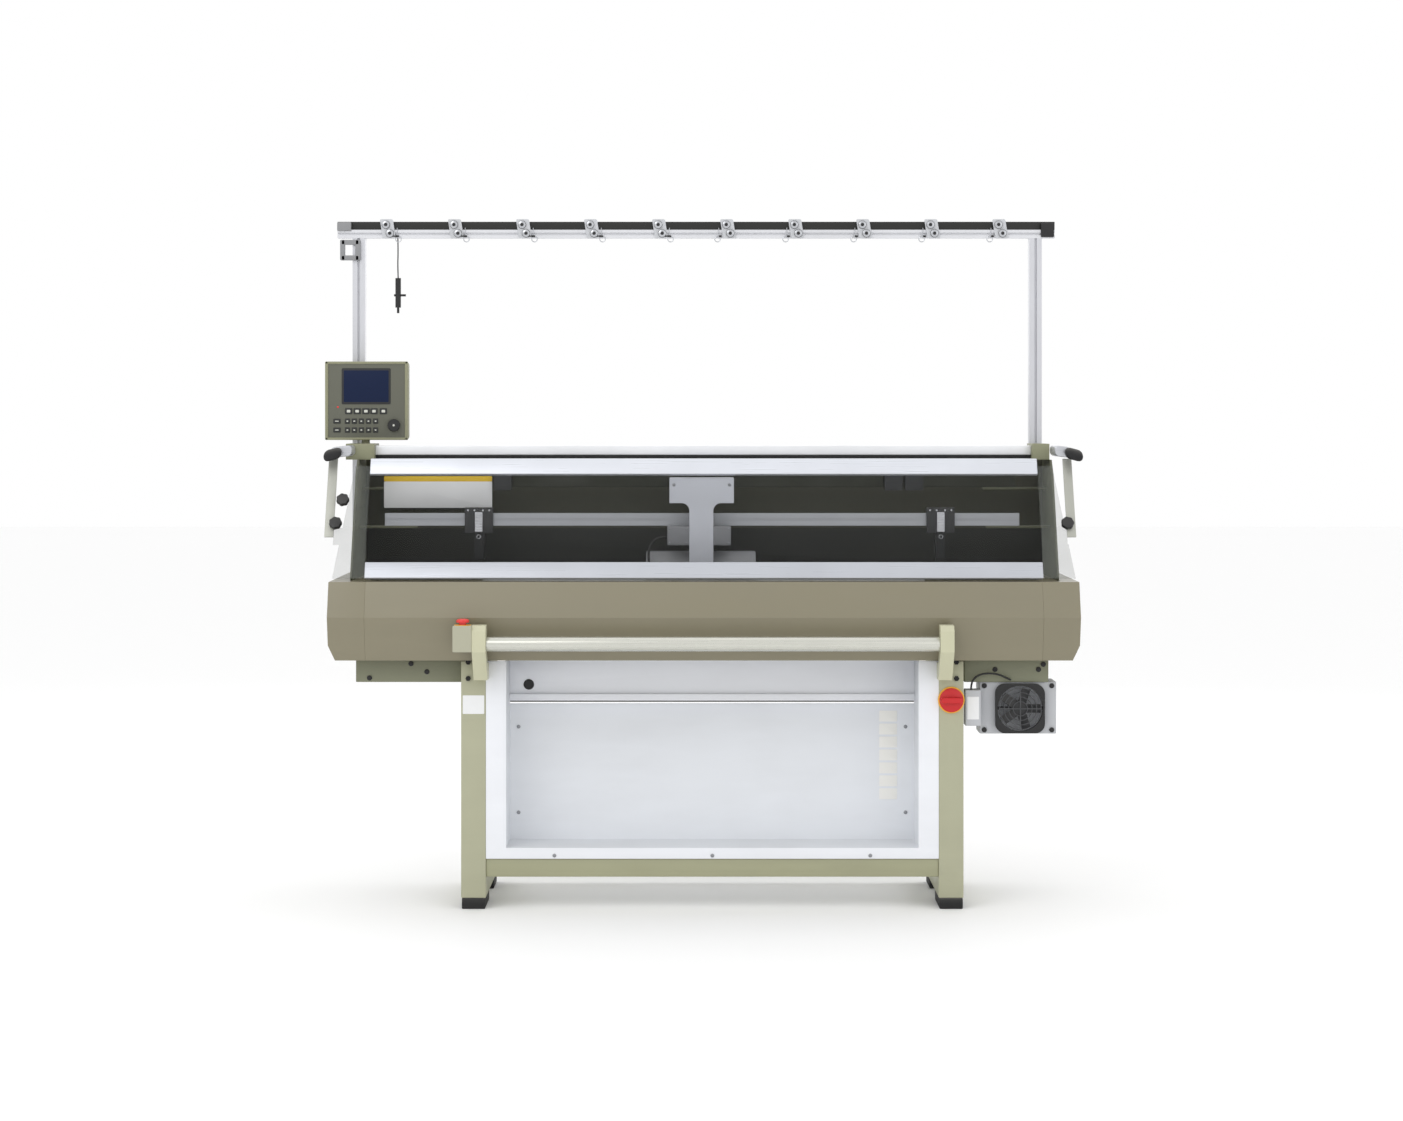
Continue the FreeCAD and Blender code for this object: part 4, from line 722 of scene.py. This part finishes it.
# Operating bar: a bright tube on two pins, carried by flame-cut brackets bolted to the legs. Its
# skin is polished by hands, so it is smoother than the other drawn metal.
bar_paint = paint("bar_paint", srgb(196, 195, 166), 0.34, 0.06, 0.06, 0.05)
eased("bar_brackets", 0.003, bar_paint, 3)
eased("operating_bar", 0.001, metal("bar_metal", srgb(205, 205, 196), 0.25, metallic=0.6))
bolt_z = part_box("bar_brackets")[0].z + 0.025
bolt_in, bolt_below, bolt_above = 0.022, 0.024, 0.026
bolts = [turned([(0.008, 0), (0.0085, 0.002), (0.0085, 0.006), (0.006, 0.0065), (0.004, 0.004)],
                (x, leg_low.y, z), (0, -1, 0), 6)
         for x in (leg_low.x + bolt_in, leg_high.x - bolt_in)
         for z in (bolt_z - bolt_below, bolt_z + bolt_above)]
piece("leg_bolts", bolts, plug_black, "frame")

# Stop button and main switch: moulded plastic. The button is a red mushroom over a yellow ring on
# its box; the switch is a red handle on a round yellow plate.
eased("estop_box", 0.002, paint("stop_box_plastic", srgb(172, 171, 150), 0.42, 0.08, 0.1, 0.25), 3)
red_cap = paint("stop_red", srgb(222, 40, 36), 0.3, 0.02, 0.04, 0.03, coat=0.4)
yellow = paint("ring_yellow", srgb(238, 176, 38), 0.38, 0.03, 0.03, 0.05)
cap_low, cap_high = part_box("estop_button")
cap_x, cap_y = (cap_low.x + cap_high.x) / 2, (cap_low.y + cap_high.y) / 2
cap_r, stem_r = (cap_high.x - cap_low.x) / 2, 0.011
cap_section = [(stem_r, cap_low.z), (stem_r, cap_high.z - 0.012),
               (cap_r * 0.96, cap_high.z - 0.0115), (cap_r, cap_high.z - 0.009),
               (cap_r * 0.99, cap_high.z - 0.006),
               (cap_r * 0.88, cap_high.z - 0.0025), (cap_r * 0.6, cap_high.z - 0.0006),
               (cap_r * 0.2, cap_high.z)]
piece("stop_cap", [turned(cap_section, (cap_x, cap_y, 0), (0, 0, 1), 40)],
      red_cap, "stop_button", ["estop_button"])
ring_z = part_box("estop_box")[1].z
piece("stop_ring", [turned([(0.0125, 0), (0.026, 0), (0.026, 0.0012), (0.0125, 0.0014)],
                           (cap_x, cap_y, ring_z), (0, 0, 1), 36)],
      yellow, "frame")
knob_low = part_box("switch_knob")[0]
plate_low, plate_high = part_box("switch_plate")
switch_x, switch_z = (plate_low.x + plate_high.x) / 2, (plate_low.z + plate_high.z) / 2
piece("switch_ring", [turned([(0.0405, 0), (0.041, 0.002), (0.0405, 0.005), (0.038, 0.006)],
                             (switch_x, plate_high.y, switch_z), (0, -1, 0), 56)],
      yellow, "frame", ["switch_plate"])
switch_red = paint("switch_red", srgb(196, 20, 26), 0.35, 0.02, 0.03, 0.05)
knob_back = plate_low.y - 0.0003
handle_half, handle_rise = 0.033, 0.009
handle = cushion_block((switch_x - handle_half, knob_low.y, switch_z - handle_rise),
                       (switch_x + handle_half, knob_back - 0.006, switch_z + handle_rise),
                       0.006, 0.003)
piece("switch_handle", [turned([(0.035, 0), (0.037, 0.001), (0.037, 0.004), (0.034, 0.0065),
                                (0.012, 0.0075)], (switch_x, knob_back, switch_z), (0, -1, 0), 48),
                        handle], switch_red, "main_switch", ["switch_knob"])

# Fan unit: a grey sheet box hung under the right end, with a black moulded fan screwed to its
# face behind four guard rings and two spokes, and a small grey box beside it.
box_paint = paint("fan_box_paint", srgb(186, 188, 192), 0.42, 0.12, 0.15)
eased("fan_box", 0.0025, box_paint)
eased("brake_box", 0.0025, box_paint)
eased("fan_frame", 0.0015, plug_black)
eased("fan_rotor", 0.0008, paint("rotor_black", srgb(34, 34, 36), 0.4, 0.0, 0.2))
fan_low, fan_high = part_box("fan_frame")
fan_box_low, fan_box_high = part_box("fan_box")
fan_x, fan_z = (fan_low.x + fan_high.x) / 2, (fan_low.z + fan_high.z) / 2
guard_y, guard_wire, spoke_half, spoke_wide = fan_low.y - 0.002, 0.0014, 0.066, 0.0016
guards = [ring_of((fan_x, guard_y, fan_z), radius, guard_wire, (0, 1, 0), 56)
          for radius in (0.022, 0.036, 0.05, 0.064)]
guards += [cushion_block((fan_x - across, fan_low.y - 0.0045, fan_z - up),
                         (fan_x + across, guard_y, fan_z + up), 0.001, 0.0005)
           for across, up in ((spoke_half, spoke_wide), (spoke_wide, spoke_half))]
piece("fan_guard", guards, metal("guard_wire", srgb(90, 91, 93), 0.35), "frame")
corner_bolts = [turned([(0.007, 0), (0.008, 0.002), (0.007, 0.006), (0.003, 0.007)],
                       (x, fan_box_low.y, z), (0, -1, 0), 20)
                for x in (fan_box_low.x + 0.014, fan_box_high.x - 0.014)
                for z in (fan_box_low.z + 0.012, fan_box_high.z - 0.012)]
piece("fan_box_bolts", corner_bolts, plug_black, "frame")
brake_low, brake_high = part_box("brake_box")
blank_label = paint("blank_label", srgb(232, 233, 234), 0.5, 0.04, 0.0)
piece("blank_plates", [
    cushion_block((brake_low.x + 0.006, brake_low.y - 0.001, brake_low.z + 0.02),
                  (brake_high.x - 0.006, brake_low.y, brake_high.z - 0.02), 0.002, 0.0004),
    cushion_block((leg_low.x + 0.005, leg_low.y - 0.001, 0.598),
                  (leg_low.x + 0.071, leg_low.y, 0.655), 0.002, 0.0004)],
      blank_label, "frame")

# Control panel: a moulded housing with a raised rim round a darker face. A dark screen, dark keys
# with plain pale bars, and a ribbed dial are set in the face. The neck below turns in the bracket.
panel_low, panel_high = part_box("panel_housing")
face_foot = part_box("stay_brackets")[1].z + 0.011
panel_rim = paint("panel_rim", srgb(139, 139, 112), 0.48, 0.06, 0.1, 0.3)
panel_face = paint("panel_face", srgb(95, 96, 84), 0.5, 0.06, 0.05, 0.3)
front = panel_low.y


shell = cushion_block((panel_low.x, front + 0.004, face_foot),
                      (panel_high.x, panel_high.y, panel_high.z), 0.012, 0.004)
neck_x, neck_r = -1.078, 0.013
neck = turned([(neck_r, panel_low.z), (neck_r, face_foot + 0.004)],
              (neck_x, (front + panel_high.y) / 2, 0), (0, 0, 1), 32)
piece("panel_shell", [shell, neck], panel_rim, "panel", ["panel_housing"])
rim_side, rim_end, rim_deep = 0.010, 0.008, 0.01
rims = [((panel_low.x, face_foot), (panel_low.x + rim_side, panel_high.z), 0.004),
        ((panel_high.x - rim_side, face_foot), (panel_high.x, panel_high.z), 0.004),
        ((panel_low.x, panel_high.z - rim_end), (panel_high.x, panel_high.z), 0.0035),
        ((panel_low.x, face_foot), (panel_high.x, face_foot + rim_end), 0.0035)]
piece("panel_rim_band", [cushion_block((x0, front, z0), (x1, front + rim_deep, z1), corner, 0.002)
                         for (x0, z0), (x1, z1), corner in rims],
      panel_rim, "panel")
sunk, face_side, face_end = 0.0022, 0.008, 0.006
piece("panel_face_plate", [cushion_block(
    (panel_low.x + face_side, front + sunk, face_foot + face_end),
    (panel_high.x - face_side, front + 0.006, panel_high.z - face_end), 0.006, 0.001)],
      panel_face, "panel")
wide, tall = panel_high.x - panel_low.x, panel_high.z - face_foot


def on_face(across, up, half_across, half_up, proud, corner=0.002):
    """A small rounded block on the face, placed by shares of the face's width and height."""
    x, z = panel_low.x + across * wide, panel_high.z - up * tall
    return cushion_block((x - half_across, front + sunk - proud, z - half_up),
                         (x + half_across, front + 0.003, z + half_up), corner, 0.0008)


screen_frame = paint("screen_frame", srgb(30, 31, 33), 0.4, 0.0, 0.03)
screen_glass = paint("screen_glass", srgb(10, 27, 60), 0.3, 0.0, 0.0, 0.0)
screen_glass.node_tree.nodes["Principled BSDF"].inputs["Specular IOR Level"].default_value = 0.2
screen_at = (0.496, 0.315)
piece("screen_surround", [on_face(*screen_at, 0.078, 0.0575, 0.0012, 0.004)], screen_frame,
      "panel")
piece("screen_glass", [on_face(*screen_at, 0.0715, 0.0505, 0.0018, 0.002)], screen_glass,
      "panel")
key_dark = paint("key_dark", srgb(34, 36, 34), 0.45, 0.03, 0.02)
key_pale = paint("key_pale", srgb(206, 207, 198), 0.45, 0.03, 0.0)
key_proud, mark_proud, low_rows = 0.0016, 0.0019, (0.76, 0.873)
top_keys = [(across, 0.633) for across in (0.284, 0.387, 0.493, 0.59, 0.704)]
low_keys = [(across, up) for across in (0.27, 0.353, 0.438, 0.524, 0.61) for up in low_rows]
side_keys = [(0.143, up) for up in low_rows]
piece("keys", [on_face(*at, 0.0115, 0.0095, key_proud) for at in top_keys] +
      [on_face(*at, 0.0082, 0.0085, key_proud) for at in low_keys],
      key_dark, "panel")
piece("side_keys", [on_face(*at, 0.0115, 0.0078, key_proud) for at in side_keys], key_dark,
      "panel")
piece("key_marks", [on_face(*at, 0.0058, 0.0044, mark_proud) for at in top_keys] +
      [on_face(*at, 0.0032, 0.0022, mark_proud) for at in low_keys] +
      [on_face(*at, 0.0060, 0.0016, mark_proud, 0.0012) for at in side_keys],
      key_pale, "panel")
light_place = (panel_low.x + 0.155 * wide, front + sunk, panel_high.z - 0.58 * tall)
piece("status_light", [turned([(0.003, 0), (0.003, 0.001), (0.0015, 0.002)], light_place,
                              (0, -1, 0), 16)], red_cap, "panel")
dial_low, dial_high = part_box("panel_dial")
dial_centre = ((dial_low.x + dial_high.x) / 2, dial_high.y, (dial_low.z + dial_high.z) / 2)
dial_section = [(0.0185, 0), (0.0195, 0.001), (0.0195, 0.011), (0.018, 0.013), (0.010, 0.0135)]
piece("dial_knob", [turned(dial_section, dial_centre, (0, -1, 0), 96, 24, 0.02)],
      knob_black, "dial", ["panel_dial"])
piece("dial_dot", [turned([(0.0032, 0.0130), (0.0034, 0.0138), (0.0010, 0.0140)], dial_centre,
                          (0, -1, 0), 20)], key_pale, "dial")

# Cables and the hanging tool: short black leads between the boxes, and a threading tool that
# hangs from the beam on a thin cord. The route points are the same as the structure's.
lead_black = paint("lead_black", srgb(24, 24, 25), 0.45, 0.0, 0.05)


def lead(name, route, radius, material):
    """A round cord on one smooth spline whose control points are the route, in metres."""
    curve = bpy.data.curves.new(name, "CURVE")
    curve.dimensions = "3D"
    curve.bevel_depth = radius
    curve.bevel_resolution = 5
    spline = curve.splines.new("NURBS")
    spline.points.add(len(route) - 1)
    for point, place in zip(spline.points, route):
        point.co = (*place, 1)
    spline.order_u = 3
    spline.use_endpoint_u = True
    spline.resolution_u = 12
    curve.use_fill_caps = True
    curve.materials.append(material)
    obj = bpy.data.objects.new(name, curve)
    bpy.context.scene.collection.objects.link(obj)
    return obj


carriage_lead = lead("carriage_lead", [
    (-0.114, -0.025, 1.132), (-0.134, -0.025, 1.132), (-0.156, -0.027, 1.123),
    (-0.170, -0.031, 1.100), (-0.173, -0.035, 1.075), (-0.171, -0.038, 1.049)], 0.004, lead_black)
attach(carriage_lead, "carriage")
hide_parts("carriage_cable")
box_lead = lead("box_lead", [
    (0.822, -0.175, 0.669), (0.822, -0.175, 0.688), (0.834, -0.177, 0.708), (0.856, -0.178, 0.718),
    (0.882, -0.178, 0.720), (0.908, -0.176, 0.716), (0.930, -0.172, 0.706), (0.945, -0.165, 0.698)],
                0.003, lead_black)
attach(box_lead, "frame")
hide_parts("box_cables")
tool = dress(frame["nodes"]["threading_tool"], knob_black)
hanging = lead("tool_hanging_cord", [
    (-0.986, 0.268, 2.083), (-0.985, 0.268, 2.040), (-0.9865, 0.2685, 1.998),
    (-0.985, 0.268, 1.955)], 0.002, lead_black)
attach(hanging, "frame")
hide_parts("tool_cord")

# Studio: a plain pale floor, a soft key from the upper left, a broad fill and a level camera at
# the height of a standing viewer, far enough off that the legs stay upright.
floor_mesh = bpy.data.meshes.new("floor")
reach = 30.0
floor_mesh.from_pydata([(-reach, -reach, 0), (reach, -reach, 0), (reach, reach, 0),
                        (-reach, reach, 0)], [], [(0, 1, 2, 3)])
floor = bpy.data.objects.new("floor", floor_mesh)
bpy.context.scene.collection.objects.link(floor)
floor_mesh.materials.append(paint("floor_pale", srgb(252, 252, 252), 0.7, 0.0, 0.0, 0.02))


def soft_light(name, place, target, size, power):
    """A square area light at a place, turned to face a target."""
    lamp = bpy.data.lights.new(name, "AREA")
    lamp.size = size
    lamp.energy = power
    obj = bpy.data.objects.new(name, lamp)
    obj.location = place
    obj.rotation_euler = (Vector(target) - Vector(place)).to_track_quat("-Z", "Y").to_euler()
    bpy.context.scene.collection.objects.link(obj)


soft_light("key", (-3.5, -5.0, 5.2), (0, 0, 1.0), 3.5, 66)
soft_light("fill", (4.5, -5.5, 3.0), (0, 0, 1.0), 4.0, 21)
soft_light("top", (0, 1.0, 5.5), (0, 0, 1.0), 4.0, 21)
soft_light("back", (0.5, 6.0, 3.5), (0, 0, 1.2), 4.0, 26)
world = bpy.data.worlds.new("studio")
world.use_nodes = True
world.node_tree.nodes["Background"].inputs["Color"].default_value = (1.0, 1.0, 1.0, 1)
world.node_tree.nodes["Background"].inputs["Strength"].default_value = 1.0
bpy.context.scene.world = world
bpy.context.scene.view_settings.view_transform = "Standard"

lens = bpy.data.cameras.new("camera")
lens.sensor_width = 36
lens.lens = 75.95
lens.shift_x = 0.0032
lens.shift_y = -0.1058
lens.clip_end = 100
camera = bpy.data.objects.new("camera", lens)
camera.location = (-0.021, -9.28, 1.523)
camera.rotation_euler = (np.pi / 2, 0, 0)
bpy.context.scene.collection.objects.link(camera)
bpy.context.scene.camera = camera

bpy.context.view_layer.update()
